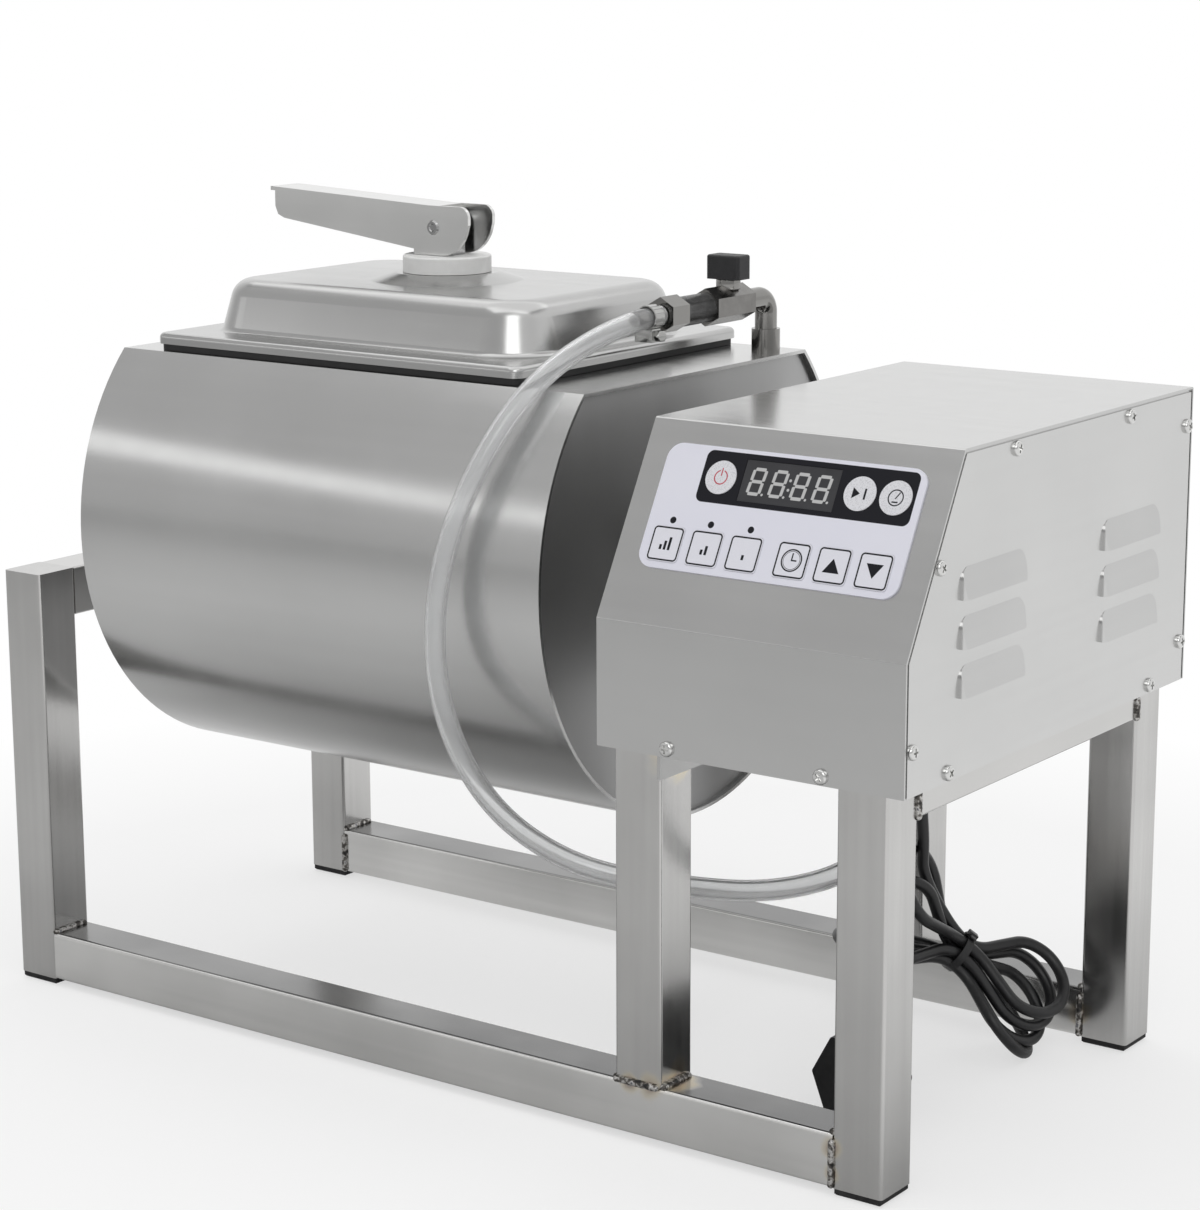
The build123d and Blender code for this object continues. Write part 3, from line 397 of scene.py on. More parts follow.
# painted shade: the end discs are coloured darker than the shell, of the same sheet, for the dark
# box side that they reflect
disc_steel_painted_dark = brushed_steel(
    "drum_disc_painted_dark", (0.42, 0.42, 0.42), 0.36, (120, 120, 6), depth=0.06,
    Anisotropic=0.9, Anisotropic_Rotation=0.25,
)
dress(disc_steel_painted_dark, "drum_left_end", "drum_right_end")
shaft_steel = brushed_steel("shaft_steel", (0.6, 0.6, 0.6), 0.25, (30, 600, 600))
dress(shaft_steel, "left_shaft", "right_shaft")

# ---------------------------------------------------------------------------
# Lid. A pan pressed from stainless sheet, polished, with a rolled rim that
# holds a black rubber gasket against the drum's flat.

lid_steel = brushed_steel("lid_steel", (0.52, 0.52, 0.515), 0.23, (4, 90, 90), depth=0.012)
dress(lid_steel, "lid_pan")
gasket_rubber, shader, place = new_finish("gasket_rubber", Specular_IOR_Level=0.4)
bloom = place.add("TexNoise", {"Vector": place, "Scale": 90.0, "Detail": 5.0})
feed(
    shader,
    Base_Color=bloom.paint((0.01, 0.01, 0.01), (0.035, 0.035, 0.036)),
    Roughness=0.45 + 0.25 * bloom,
)
dress(gasket_rubber, "lid_gasket")

# ---------------------------------------------------------------------------
# Lid lock. A turned nylon washer, a steel stud with a cross bar under the mouth,
# and a cam lever folded from steel plate, which pulls the bar up.

LOCK_X = -0.0941
nylon, shader, place = new_finish(
    "washer_nylon", Subsurface_Weight=0.1, Subsurface_Radius=(0.002, 0.002, 0.002)
)
turning = place.add(
    "Mapping", {"Vector": place, "Location": (-LOCK_X, 0.0, 0.0), "Scale": (1.0, 1.0, 0.0)}
)
rings = place.add(
    "TexWave", {"Vector": turning, "Scale": 420.0, "Distortion": 0.6},
    wave_type="RINGS", rings_direction="Z",
)
grime = place.add("TexNoise", {"Vector": place, "Scale": 120.0, "Detail": 4.0})
feed(
    shader,
    Base_Color=(1.5 * grime - 0.5).held().paint((0.80, 0.80, 0.79), (0.69, 0.69, 0.68)),
    Roughness=0.35 + 0.2 * grime,
    Normal=place.add("Bump", {"Height": rings, "Strength": 0.12, "Distance": 0.0003}),
)
dress(nylon, "nylon_washer")
lever_steel = brushed_steel("lever_steel", (0.76, 0.76, 0.75), 0.22, (6, 200, 200))
dress(lever_steel, "cam_lever", "lock_bar")
pin_steel = brushed_steel("pin_steel", (0.42, 0.42, 0.42), 0.13, (200, 20, 200))
dress(pin_steel, "lock_stud")

# ---------------------------------------------------------------------------
# Lever pin. A turned steel rivet through the lever's two cheeks and the stud's
# eye, its ends spread to low tapered heads with a dimple from the punch.

PIN_PLACE = (LOCK_X, 0.0, 0.4725)
PIN_RADIUS = 0.0034
PIN_HEAD = 0.0044
PIN_HALF = 0.0142
HEAD_DEPTH = 0.0012
HEAD_TAPER = 0.82
DIMPLE_EDGE = 0.0012
DIMPLE_SLOPE = 0.0006
DIMPLE_DEPTH = 0.0007
PIN_SHANK = PIN_HALF - HEAD_DEPTH


def choose(piece, kind, test):
    """In edit mode, selects only the edges or faces that pass a test."""
    bpy.ops.mesh.select_mode(type=kind)
    bpy.ops.mesh.select_all(action="DESELECT")
    mesh = bmesh.from_edit_mesh(piece.data)
    for item in mesh.edges if kind == "EDGE" else mesh.faces:
        if test(item):
            item.select_set(True)
    mesh.select_flush_mode()
    bmesh.update_edit_mesh(piece.data)


clear_choice()
bpy.ops.mesh.primitive_cylinder_add(vertices=40, radius=PIN_RADIUS, depth=2 * PIN_SHANK)
pin = bpy.context.object
bpy.ops.object.mode_set(mode="EDIT")
for end in (-1, 1):
    choose(
        pin, "FACE",
        lambda face: end * face.calc_center_median().z > 0.9 * PIN_SHANK
        and abs(face.normal.z) > 0.9,
    )
    spread = PIN_HEAD / PIN_RADIUS
    bpy.ops.mesh.extrude_region_move()
    bpy.ops.transform.resize(value=(spread, spread, 1.0))
    bpy.ops.mesh.extrude_region_move(TRANSFORM_OT_translate={"value": (0, 0, end * HEAD_DEPTH)})
    bpy.ops.transform.resize(value=(HEAD_TAPER, HEAD_TAPER, 1.0))
    bpy.ops.mesh.inset(thickness=DIMPLE_EDGE, depth=0.0)
    bpy.ops.mesh.inset(thickness=DIMPLE_SLOPE, depth=-DIMPLE_DEPTH)
bpy.ops.object.mode_set(mode="OBJECT")
pin.rotation_euler = (math.radians(90), 0.0, 0.0)
pin.location = PIN_PLACE
settle(pin)
pin.name = "turned_lever_pin"
smooth(pin, 30)
place_piece(pin, pin_steel, "lever", "lid_steel", "lever_pin")

# ---------------------------------------------------------------------------
# Vacuum line. A socket welded to the drum's flat, with a bent elbow and barbed
# hose tails screwed together on it, turned bright and nickel plated.

plated = brushed_steel("plated_brass", (0.27, 0.265, 0.255), 0.14, (120, 120, 120), depth=0.012)
dress(plated, "line_socket", "line_elbow", "hose_tail", "bulkhead_tail")

# ---------------------------------------------------------------------------
# Ball valve. A brass body screwed between elbow and hose tail; its collar is
# blackened and threaded, and its hexagon is plated as the fittings are.

COLLAR_START = -0.0026
COLLAR_END = 0.0260
COLLAR_EDGE = 0.0004
valve_metal, shader, place = new_finish("valve_metal", Metallic=1.0)
along_line = place.axes()[1]
past_start = ((along_line - COLLAR_START) / COLLAR_EDGE).held()
collar = past_start * ((COLLAR_END - along_line) / COLLAR_EDGE).held()
thread = place.add("TexWave", {"Vector": place, "Scale": 260.0}, bands_direction="Y")
stain = place.add("TexNoise", {"Vector": place, "Scale": 160.0, "Detail": 4.0})
feed(
    shader,
    Base_Color=collar.paint(
        stain.paint((0.16, 0.155, 0.15), (0.26, 0.255, 0.245)),
        stain.paint((0.04, 0.04, 0.04), (0.14, 0.14, 0.14)),
    ),
    Roughness=0.15 + 0.12 * stain,
    Normal=place.add("Bump", {"Height": thread * collar, "Strength": 0.5, "Distance": 0.0006}),
)
dress(valve_metal, "valve_body")

# ---------------------------------------------------------------------------
# Packing nut. A hexagon of plated brass, chamfered on both faces, screwed down
# on the valve's body where the knob's stem comes out.

NUT_PLACE = (0.0744, 0.0500, 0.4438)
NUT_RADIUS = 0.0072
NUT_HEIGHT = 0.0056
NUT_CHAMFER = 0.0008
NUT_CROWN = 0.0005
NUT_EDGE = 0.0003
STEM_HOLE = 0.0044
DRILL_LENGTH = 0.02


def cut(piece, cutter):
    """Takes a cutter's shape out of a piece, and drops the cutter."""
    bite = piece.modifiers.new("bite", "BOOLEAN")
    bite.operation = "DIFFERENCE"
    bite.object = cutter
    apply_modifiers(piece)
    bpy.data.objects.remove(cutter)


def soften(piece, width, segments):
    """Bevels a piece's edges."""
    bevel = piece.modifiers.new("bevel", "BEVEL")
    bevel.width = width
    bevel.segments = segments
    apply_modifiers(piece)


clear_choice()
bpy.ops.mesh.primitive_cylinder_add(vertices=6, radius=NUT_RADIUS, depth=NUT_HEIGHT)
nut = bpy.context.object
bpy.ops.object.mode_set(mode="EDIT")
choose(nut, "FACE", lambda face: abs(face.normal.z) > 0.9)
bpy.ops.mesh.inset(thickness=NUT_CHAMFER, depth=NUT_CROWN, use_individual=True)
bpy.ops.object.mode_set(mode="OBJECT")
clear_choice()
bpy.ops.mesh.primitive_cylinder_add(vertices=32, radius=STEM_HOLE, depth=DRILL_LENGTH)
drill = bpy.context.object
cut(nut, drill)
soften(nut, NUT_EDGE, 2)
nut.location = NUT_PLACE
settle(nut)
nut.name = "packing_nut"
smooth(nut, 30)
place_piece(nut, plated, "drum", "fitting_steel")

# ---------------------------------------------------------------------------
# Valve knob. Black phenolic moulding pressed on the valve's stem, with a fine
# pebbled grip that is worn a little grey.

knob_plastic, shader, place = new_finish("knob_plastic", Specular_IOR_Level=0.45)
pebble = place.add("TexVoronoi", {"Vector": place, "Scale": 1600.0})
wear = place.add("TexNoise", {"Vector": place, "Scale": 180.0, "Detail": 4.0})
feed(
    shader,
    Base_Color=wear.paint((0.008, 0.008, 0.009), (0.03, 0.03, 0.032)),
    Roughness=0.38 + 0.2 * wear,
    Normal=place.add("Bump", {"Height": pebble, "Strength": 0.15, "Distance": 0.0003}),
)
dress(knob_plastic, "valve_knob")

# ---------------------------------------------------------------------------
# Hose clamp. A slotted stainless band round the hose, drawn tight by a worm in
# a pressed housing; its hexagon head has a slot for a screwdriver.

CLAMP_MIDDLE = Vector((0.0744, -0.0287, 0.4324))
BAND_RADIUS = 0.0070
BAND_WIDTH = 0.0086
BAND_WALL = 0.0007
SLOT_EDGE = 0.00016
SLOT_DEPTH = 0.0003
WORM_DROP = 0.01015
clear_choice()
bpy.ops.mesh.primitive_cylinder_add(
    vertices=48, radius=BAND_RADIUS, depth=BAND_WIDTH, end_fill_type="NOTHING"
)
band = bpy.context.object
bpy.ops.object.mode_set(mode="EDIT")
choose(band, "FACE", lambda face: face.index % 3 == 0)
bpy.ops.mesh.inset(thickness=SLOT_EDGE, depth=-SLOT_DEPTH, use_individual=True)
bpy.ops.object.mode_set(mode="OBJECT")
gauge = band.modifiers.new("gauge", "SOLIDIFY")
gauge.thickness = BAND_WALL
gauge.offset = -1.0
apply_modifiers(band)
band.rotation_euler = (math.radians(90), 0.0, 0.0)
band.location = CLAMP_MIDDLE
settle(band)

HOUSING_SIZE = (0.0118, 0.0086, 0.0076)
HOUSING_ASIDE = -0.0020
HOUSING_EDGE = 0.0008
BOSS_EDGE = 0.0014
BOSS_HEIGHT = 0.0003
clear_choice()
bpy.ops.mesh.primitive_cube_add(size=1.0)
housing = bpy.context.object
housing.scale = HOUSING_SIZE
settle(housing)
bpy.ops.object.mode_set(mode="EDIT")
choose(housing, "FACE", lambda face: face.normal.z < -0.9)
bpy.ops.mesh.inset(thickness=BOSS_EDGE, depth=0.0)
bpy.ops.mesh.extrude_region_move(TRANSFORM_OT_translate={"value": (0, 0, -BOSS_HEIGHT)})
bpy.ops.object.mode_set(mode="OBJECT")
soften(housing, HOUSING_EDGE, 3)
housing.location = CLAMP_MIDDLE + Vector((HOUSING_ASIDE, 0.0, -WORM_DROP))
settle(housing)

WORM_RADIUS = 0.0034
WORM_HEIGHT = 0.0048
WORM_CHAMFER = 0.0005
WORM_CROWN = 0.0003
WORM_ASIDE = 0.0063
WORM_TURN = 0.4
DRIVER_SLOT = (0.0010, 0.0090, 0.0028)
clear_choice()
bpy.ops.mesh.primitive_cylinder_add(vertices=6, radius=WORM_RADIUS, depth=WORM_HEIGHT)
worm_head = bpy.context.object
bpy.ops.object.mode_set(mode="EDIT")
choose(worm_head, "FACE", lambda face: face.normal.z > 0.9)
bpy.ops.mesh.inset(thickness=WORM_CHAMFER, depth=WORM_CROWN)
bpy.ops.object.mode_set(mode="OBJECT")
clear_choice()
bpy.ops.mesh.primitive_cube_add(size=1.0, location=(0.0, 0.0, DRIVER_SLOT[2]))
slot_cutter = bpy.context.object
slot_cutter.scale = DRIVER_SLOT
settle(slot_cutter)
cut(worm_head, slot_cutter)
worm_head.rotation_euler = (WORM_TURN, math.radians(90), 0.0)
worm_head.location = CLAMP_MIDDLE + Vector((WORM_ASIDE, 0.0, -WORM_DROP))
settle(worm_head)
clamp = joined("worm_drive_clamp", [band, housing, worm_head])
smooth(clamp, 30)
clamp_steel = brushed_steel("clamp_steel", (0.48, 0.48, 0.47), 0.15, (150, 150, 150), depth=0.012)
place_piece(clamp, clamp_steel, "drum", "fitting_steel", "hose_clamp")

# ---------------------------------------------------------------------------
# Vacuum hose. Clear PVC tube, 12 mm outside and 8.3 mm bore, pushed over the
# valve's tail under a clamp, hanging in front of the drum to the deck's tail.

HOSE_DIAMETER = 0.012
HOSE_WALL = 0.00185
hose_route = [
    (0.0744, -0.0202, 0.4324),
    (0.0744, -0.0624, 0.4324),
    (0.0594, -0.1345, 0.4003),
    (0.0344, -0.1705, 0.3204),
    (0.0274, -0.1705, 0.2405),
    (0.0445, -0.1505, 0.1744),
    (0.0805, -0.1185, 0.1353),
    (0.1344, -0.0924, 0.1264),
    (0.1923, -0.0764, 0.1285),
    (0.23955, -0.060, 0.1486),
    (0.25355, -0.052, 0.1866),
    (0.25355, -0.052, 0.2246),
]


def cord_spline(name, route, radius):
    """A curve of one open spline whose control points are the route."""
    curve = bpy.data.curves.new(name, "CURVE")
    curve.dimensions = "3D"
    curve.resolution_u = 16
    curve.bevel_depth = radius
    curve.bevel_resolution = 6
    curve.use_fill_caps = radius > 0.0
    spline = curve.splines.new("NURBS")
    spline.points.add(len(route) - 1)
    for point, spot in zip(spline.points, route):
        point.co = (*spot, 1.0)
    spline.order_u = 3
    spline.use_endpoint_u = True
    cord = bpy.data.objects.new(name, curve)
    bpy.context.scene.collection.objects.link(cord)
    return cord


hose_line = cord_spline("hose_line", hose_route, 0.0)
bpy.context.view_layer.update()
hose_path = [v.co.copy() for v in bpy.data.meshes.new_from_object(hose_line).vertices]
bpy.data.objects.remove(hose_line)
hose_curve = cord_spline("hose_curve", hose_route, HOSE_DIAMETER / 2)
hose_curve.data.use_fill_caps = False
bpy.context.view_layer.update()
hose = bpy.data.objects.new("clear_hose", bpy.data.meshes.new_from_object(hose_curve))
bpy.context.scene.collection.objects.link(hose)
bpy.data.objects.remove(hose_curve)
wall = hose.modifiers.new("wall", "SOLIDIFY")
wall.thickness = HOSE_WALL
wall.offset = -1.0
apply_modifiers(hose)
smooth(hose, 60)
clear_pvc, shader, place = new_finish("clear_pvc", Transmission_Weight=0.82, IOR=1.42)
haze = place.add("TexNoise", {"Vector": place, "Scale": 70.0, "Detail": 4.0})
feed(
    shader,
    Base_Color=haze.paint((0.94, 0.95, 0.955), (0.97, 0.97, 0.97)),
    Roughness=0.06 + 0.1 * haze,
)
hose.data.materials.clear()
hose.data.materials.append(clear_pvc)
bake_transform(hose)
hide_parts("vacuum_hose")

# ---------------------------------------------------------------------------
# Control box. Stainless sheet, 1.2 mm: one piece bent over front, slope, top
# and rear, and two side panels, the right one with pressed louvres.

cover_steel = brushed_steel("cover_steel", (0.58, 0.58, 0.575), 0.22, (4, 150, 150), depth=0.012)
dress(cover_steel, "box_cover")
panel_steel = brushed_steel("panel_steel", (0.63, 0.63, 0.625), 0.22, (150, 4, 150), depth=0.012)
dress(panel_steel, "right_side_panel", "left_side_panel")
tray_steel = brushed_steel("tray_steel", (0.55, 0.55, 0.545), 0.34, (300, 6, 300))
dress(tray_steel, "deck_tray")

# ---------------------------------------------------------------------------
# Panel screws. Stainless pan heads with a cross recess, cold headed: four into
# the deck's lips, front and rear, and eight round the right side panel.

HEAD_RADIUS = 0.0042
HEAD_HEIGHT = 0.0024
HEAD_ROUND = 0.0017
SHANK_RADIUS = 0.0020
SHANK_LENGTH = 0.0070
RECESS_LENGTH = 0.0046
RECESS_WIDTH = 0.0011
SCREW_TURN = 0.7
clear_choice()
bpy.ops.mesh.primitive_cylinder_add(
    vertices=32, radius=HEAD_RADIUS, depth=HEAD_HEIGHT, location=(0, 0, HEAD_HEIGHT / 2)
)
pattern = bpy.context.object
settle(pattern)
bpy.ops.object.mode_set(mode="EDIT")
choose(pattern, "EDGE", lambda edge: all(v.co.z > 0.9 * HEAD_HEIGHT for v in edge.verts))
bpy.ops.mesh.bevel(offset=HEAD_ROUND, segments=5, affect="EDGES")
choose(pattern, "FACE", lambda face: face.normal.z < -0.9)
bpy.ops.mesh.inset(thickness=HEAD_RADIUS - SHANK_RADIUS, depth=0.0)
bpy.ops.mesh.extrude_region_move(TRANSFORM_OT_translate={"value": (0, 0, -SHANK_LENGTH)})
bpy.ops.object.mode_set(mode="OBJECT")
for quarter in (0, 1):
    clear_choice()
    bpy.ops.mesh.primitive_cube_add(size=1.0, location=(0, 0, HEAD_HEIGHT))
    cutter = bpy.context.object
    cutter.scale = (RECESS_LENGTH, RECESS_WIDTH, HEAD_HEIGHT)
    cutter.rotation_euler = (0, 0, math.radians(90 * quarter))
    settle(cutter)
    cut(pattern, cutter)
BOX_FACE = 0.1585
PANEL_FACE = 0.31885
LIP_HEIGHT = 0.2258
screw_places = [
    ((x, side * BOX_FACE, LIP_HEIGHT), (0, side, 0))
    for side in (-1, 1) for x in (0.17555, 0.27015)
]
screw_places += [
    ((PANEL_FACE, y, z), (1, 0, 0))
    for y, z in (
        (-0.0500, 0.3838), (0.0795, 0.3838), (0.1515, 0.3691), (0.1515, 0.2441),
        (-0.12679, 0.33388), (-0.1515, 0.24445), (-0.1150, LIP_HEIGHT), (0.1140, LIP_HEIGHT),
    )
]
screws = []
for number, (spot, facing) in enumerate(screw_places):
    screw = bpy.data.objects.new("screw", pattern.data.copy())
    bpy.context.scene.collection.objects.link(screw)
    turn = Vector(facing).to_track_quat("Z", "Y").to_matrix().to_4x4()
    spin = Matrix.Rotation(SCREW_TURN * number, 4, "Z")
    screw.matrix_world = Matrix.Translation(spot) @ turn @ spin
    settle(screw)
    screws.append(screw)
bpy.data.objects.remove(pattern)
panel_screws = joined("panel_screws", screws)
smooth(panel_screws, 30)
screw_steel = brushed_steel("screw_steel", (0.68, 0.68, 0.67), 0.15, (200, 200, 200))
place_piece(panel_screws, screw_steel, "base", "fitting_steel", "cover_screws")

# ---------------------------------------------------------------------------
# Keypad. A polyester overlay, back printed and glued to the slope, with a black
# band along its top, three lamp windows, and openings for keys and display.

KEYPAD_MIDDLE = 0.2246
SLOPE_FOOT = (-0.1585, 0.2907)
SLOPE_RISE = (0.4815, 0.8764)
KEYPAD_ALONG = 0.0659
ROUND_ROW = 0.0182
SQUARE_ROW = -0.0214
EDGE_BLUR = 0.00016


def keypad_axes(place):
    """Wires across and up the keypad, from its middle."""
    x, y, z = place.axes()
    up = SLOPE_RISE[0] * (y - SLOPE_FOOT[0]) + SLOPE_RISE[1] * (z - SLOPE_FOOT[1]) - KEYPAD_ALONG
    return x - KEYPAD_MIDDLE, up


def inked(distance):
    """A mask that is 1 where a distance is below zero."""
    return (0.5 - distance / EDGE_BLUR).held()


def disc(x, y, radius):
    """Distance from a disc round the middle."""
    return (x * x + y * y).root() - radius


def rounded(x, y, half_width, half_height, corner):
    """Distance from a rounded rectangle round the middle."""
    dx = (abs(x) - (half_width - corner)).most(0.0)
    dy = (abs(y) - (half_height - corner)).most(0.0)
    return (dx * dx + dy * dy).root() - corner


def outline(distance, width):
    """Distance from a line of that width along a shape's edge."""
    return abs(distance) - width / 2


def wedge(x, y, half_width, height):
    """Distance from a triangle that points up."""
    flank = (abs(x) * height + (y - height / 2) * half_width) / math.hypot(height, half_width)
    return flank.most(-1.0 * y - height / 2)


FILM = (0.73, 0.73, 0.82)
INK = (0.012, 0.012, 0.016)
FILM_GLOSS = 0.15
BAND_PLACE = (0.0103, 0.0183)
BAND_HALF = (0.0645, 0.0145)
BAND_CORNER = 0.004
LAMP_PLACES = (-0.0636, -0.0398, -0.0150)
LAMP_DROP = 0.00805
LAMP_RADIUS = 0.0019
film, shader, place = new_finish("keypad_film", Specular_IOR_Level=FILM_GLOSS)
across, up = keypad_axes(place)
printed = inked(rounded(across - BAND_PLACE[0], up - BAND_PLACE[1], *BAND_HALF, BAND_CORNER))
for spot in LAMP_PLACES:
    printed = inked(disc(across - spot, up + LAMP_DROP, LAMP_RADIUS)) + printed
weave = place.add("TexNoise", {"Vector": place, "Scale": 1500.0, "Detail": 3.0})
cast = place.add("TexNoise", {"Vector": place, "Scale": 20.0, "Detail": 3.0})
feed(
    shader,
    Base_Color=printed.held().paint(cast.paint(FILM, (0.78, 0.78, 0.84)), INK),
    Roughness=0.34 + 0.1 * weave,
    Normal=place.add("Bump", {"Height": weave, "Strength": 0.08, "Distance": 0.0002}),
)
dress(film, "keypad_panel")

# ---------------------------------------------------------------------------
# Keys. Nine moulded caps in the overlay's openings, each on its own spring: three
# round ones, speckled silver, in the band, and six square ones with an outline.

KEY_HALF = 0.0089
KEY_CORNER = 0.0018
KEY_LINE = 0.00090
MARK_CORNER = 0.0002


def key_finish(name, x, y, mark, square=True, colour=INK):
    """A key's face: pale film with an outline, or speckled silver, and its mark."""
    finish, shader, place = new_finish(name + "_face", Specular_IOR_Level=FILM_GLOSS)
    across, up = keypad_axes(place)
    across, up = across - x, up - y
    fleck = place.add("TexNoise", {"Vector": place, "Scale": 2200.0, "Detail": 2.0})
    if square:
        border = inked(outline(rounded(across, up, KEY_HALF, KEY_HALF, KEY_CORNER), KEY_LINE))
        ground = border.paint(fleck.paint((0.70, 0.70, 0.77), (0.80, 0.80, 0.85)), INK)
    else:
        speck = place.add("TexVoronoi", {"Vector": place, "Scale": 1500.0})
        ground = (3.0 * speck - 0.4).held().paint((0.52, 0.52, 0.55), (0.74, 0.74, 0.77))
    feed(
        shader,
        Base_Color=inked(mark(across, up)).paint(ground, colour),
        Roughness=0.32 + 0.12 * fleck,
    )
    dress(finish, name)


def stroke(x, y, half_width, half_height):
    """Distance from a bar with slightly rounded corners."""
    return rounded(x, y, half_width, half_height, MARK_CORNER)


def power_mark(x, y):
    """A ring with a gap at its top, and a stem in the gap."""
    ring = outline(disc(x, y, 0.0038), 0.0007)
    gap = stroke(x, y - 0.0035, 0.0012, 0.0022)
    stem = stroke(x, y - 0.0030, 0.00035, 0.0022)
    return ring.most(-1.0 * gap).least(stem)


def run_mark(x, y):
    """Start and stop: an arrow and a bar."""
    arrow = wedge(-1.0 * y, x + 0.0022, 0.0030, 0.0044)
    bar = stroke(x - 0.0030, y, 0.0006, 0.0030)
    return arrow.least(bar)


def vacuum_mark(x, y):
    """A gauge: a dial and its needle."""
    lean = 0.6
    dial = outline(disc(x, y, 0.0042), 0.0007)
    needle = stroke(x - lean * y - 0.0002, y - 0.0012, 0.0004, 0.0019)
    foot = stroke(x, y + 0.0024, 0.0018, 0.0004)
    return dial.least(needle).least(foot)


def speed_mark(bars):
    """Rising bars, more of them for a faster speed."""

    def mark(x, y):
        shape = None
        for step in range(bars):
            height = 0.0014 + 0.0011 * step
            middle = 0.0026 * (step - (bars - 1) / 2)
            bar = stroke(x - middle, y + 0.0034 - height, 0.0008, height)
            shape = bar if shape is None else shape.least(bar)
        return shape

    return mark


def timer_mark(x, y):
    """A clock at three: two rings and two hands."""
    face = outline(disc(x, y, 0.0058), 0.0008)
    inner = outline(disc(x, y, 0.0049), 0.0003)
    minute = stroke(x, y - 0.0018, 0.0004, 0.0022)
    hour = stroke(x - 0.0013, y, 0.0017, 0.0004)
    return face.least(inner).least(minute).least(hour)


def up_mark(x, y):
    return wedge(x, y, 0.0050, 0.0078)


def down_mark(x, y):
    return up_mark(x, -1.0 * y)


key_finish("key_power", -0.0420, ROUND_ROW, power_mark, False, (0.50, 0.07, 0.10))
key_finish("key_run", 0.0426, ROUND_ROW, run_mark, False)
key_finish("key_vacuum", 0.0636, ROUND_ROW, vacuum_mark, False)
key_finish("key_fast", -0.0640, SQUARE_ROW, speed_mark(3))
key_finish("key_medium", -0.0396, SQUARE_ROW, speed_mark(2))
key_finish("key_slow", -0.0153, SQUARE_ROW, speed_mark(1))
key_finish("key_timer", 0.0141, SQUARE_ROW, timer_mark)
key_finish("key_up", 0.0383, SQUARE_ROW, up_mark)
key_finish("key_down", 0.0626, SQUARE_ROW, down_mark)

# ---------------------------------------------------------------------------
# Display. Four LED digits of seven segments behind smoked glass, with a point
# after each and a colon in the middle; it sits in the window of the black band.

DIGIT_PITCH = 0.0132
DIGIT_HALF_HEIGHT = 0.0068
DIGIT_HALF_WIDTH = 0.0036
DIGIT_LEAN = 0.09
SEGMENT = 0.0009
SEGMENT_CORNER = 0.0006
POINT_ASIDE = 0.0056
POINT_RADIUS = 0.0007
COLON_HALF = 0.0026
COLON_RADIUS = 0.0008
SMOKE = ((0.035, 0.035, 0.038), (0.055, 0.055, 0.06))
UNLIT_SEGMENT = (0.52, 0.52, 0.52)
glass, shader, place = new_finish("display_glass", Specular_IOR_Level=0.25)
across, up = keypad_axes(place)
up = up - ROUND_ROW
leaned = across - DIGIT_LEAN * up
cell = leaned.maths("FLOORED_MODULO", leaned + 2 * DIGIT_PITCH, DIGIT_PITCH) - DIGIT_PITCH / 2
bar_half = DIGIT_HALF_WIDTH - 0.5 * SEGMENT
stand_half = DIGIT_HALF_HEIGHT / 2 - 0.5 * SEGMENT
side = abs(cell) - DIGIT_HALF_WIDTH
stand = abs(up) - DIGIT_HALF_HEIGHT / 2
digits = rounded(side, stand, SEGMENT, stand_half, SEGMENT_CORNER)
for height in (-DIGIT_HALF_HEIGHT, 0.0, DIGIT_HALF_HEIGHT):
    digits = digits.least(rounded(cell, up - height, bar_half, SEGMENT, SEGMENT_CORNER))
point = disc(cell - POINT_ASIDE, up + DIGIT_HALF_HEIGHT, POINT_RADIUS)
colon = disc(across, abs(up) - COLON_HALF, COLON_RADIUS)
four_cells = abs(leaned) - 2 * DIGIT_PITCH
segments = inked(digits.least(point).most(four_cells).least(colon))
smoke = place.add("TexNoise", {"Vector": place, "Scale": 60.0, "Detail": 3.0})
feed(
    shader,
    Base_Color=segments.paint(smoke.paint(*SMOKE), UNLIT_SEGMENT),
    Roughness=0.3 + 0.15 * smoke,
)
dress(glass, "display_module")

# ---------------------------------------------------------------------------
# Control board. Green glass-fibre board behind the keypad, etched with copper
# tracks under its lacquer; it carries the display and the keys' switches.

board_resin, shader, place = new_finish("board_resin")
tracks = place.add("TexBrick", {"Vector": place, "Scale": 60.0}, pick="Fac")
feed(
    shader,
    Base_Color=tracks.paint((0.02, 0.11, 0.05), (0.04, 0.19, 0.08)),
    Roughness=0.35 + 0.2 * tracks,
)
dress(board_resin, "control_board")

# ---------------------------------------------------------------------------
# Drive and pump inside the box. A worm gearbox and motor in grey paint, and a
# small diaphragm pump with a black head.

drive_paint, shader, place = new_finish("drive_paint", Coat_Weight=0.1)
peel = place.add("TexNoise", {"Vector": place, "Scale": 600.0, "Detail": 3.0})
feed(
    shader,
    Base_Color=peel.paint((0.16, 0.17, 0.18), (0.22, 0.23, 0.24)),
    Roughness=0.4 + 0.2 * peel,
    Normal=place.add("Bump", {"Height": peel, "Strength": 0.2, "Distance": 0.0004}),
)
dress(drive_paint, "gearbox", "drive_motor", "vacuum_pump")
dress(knob_plastic, "pump_head", "cable_gland")

# ---------------------------------------------------------------------------
# Mains cord. Black PVC lead, 7 mm across and 1.57 m long: it hangs from the
# deck's gland, is wound into a tied hank of seven loops, and ends in its plug.

CORD_DIAMETER = 0.007
HANK_MIDDLE = Vector((0.226, 0.068, 0.062))
HANK_TURN = math.radians(36.0)
HANK_LEAN = math.radians(38.0)
STRAND_HOLD = 0.009
STRAND_SHARE = 0.6
FOLD_EASE = 0.0173
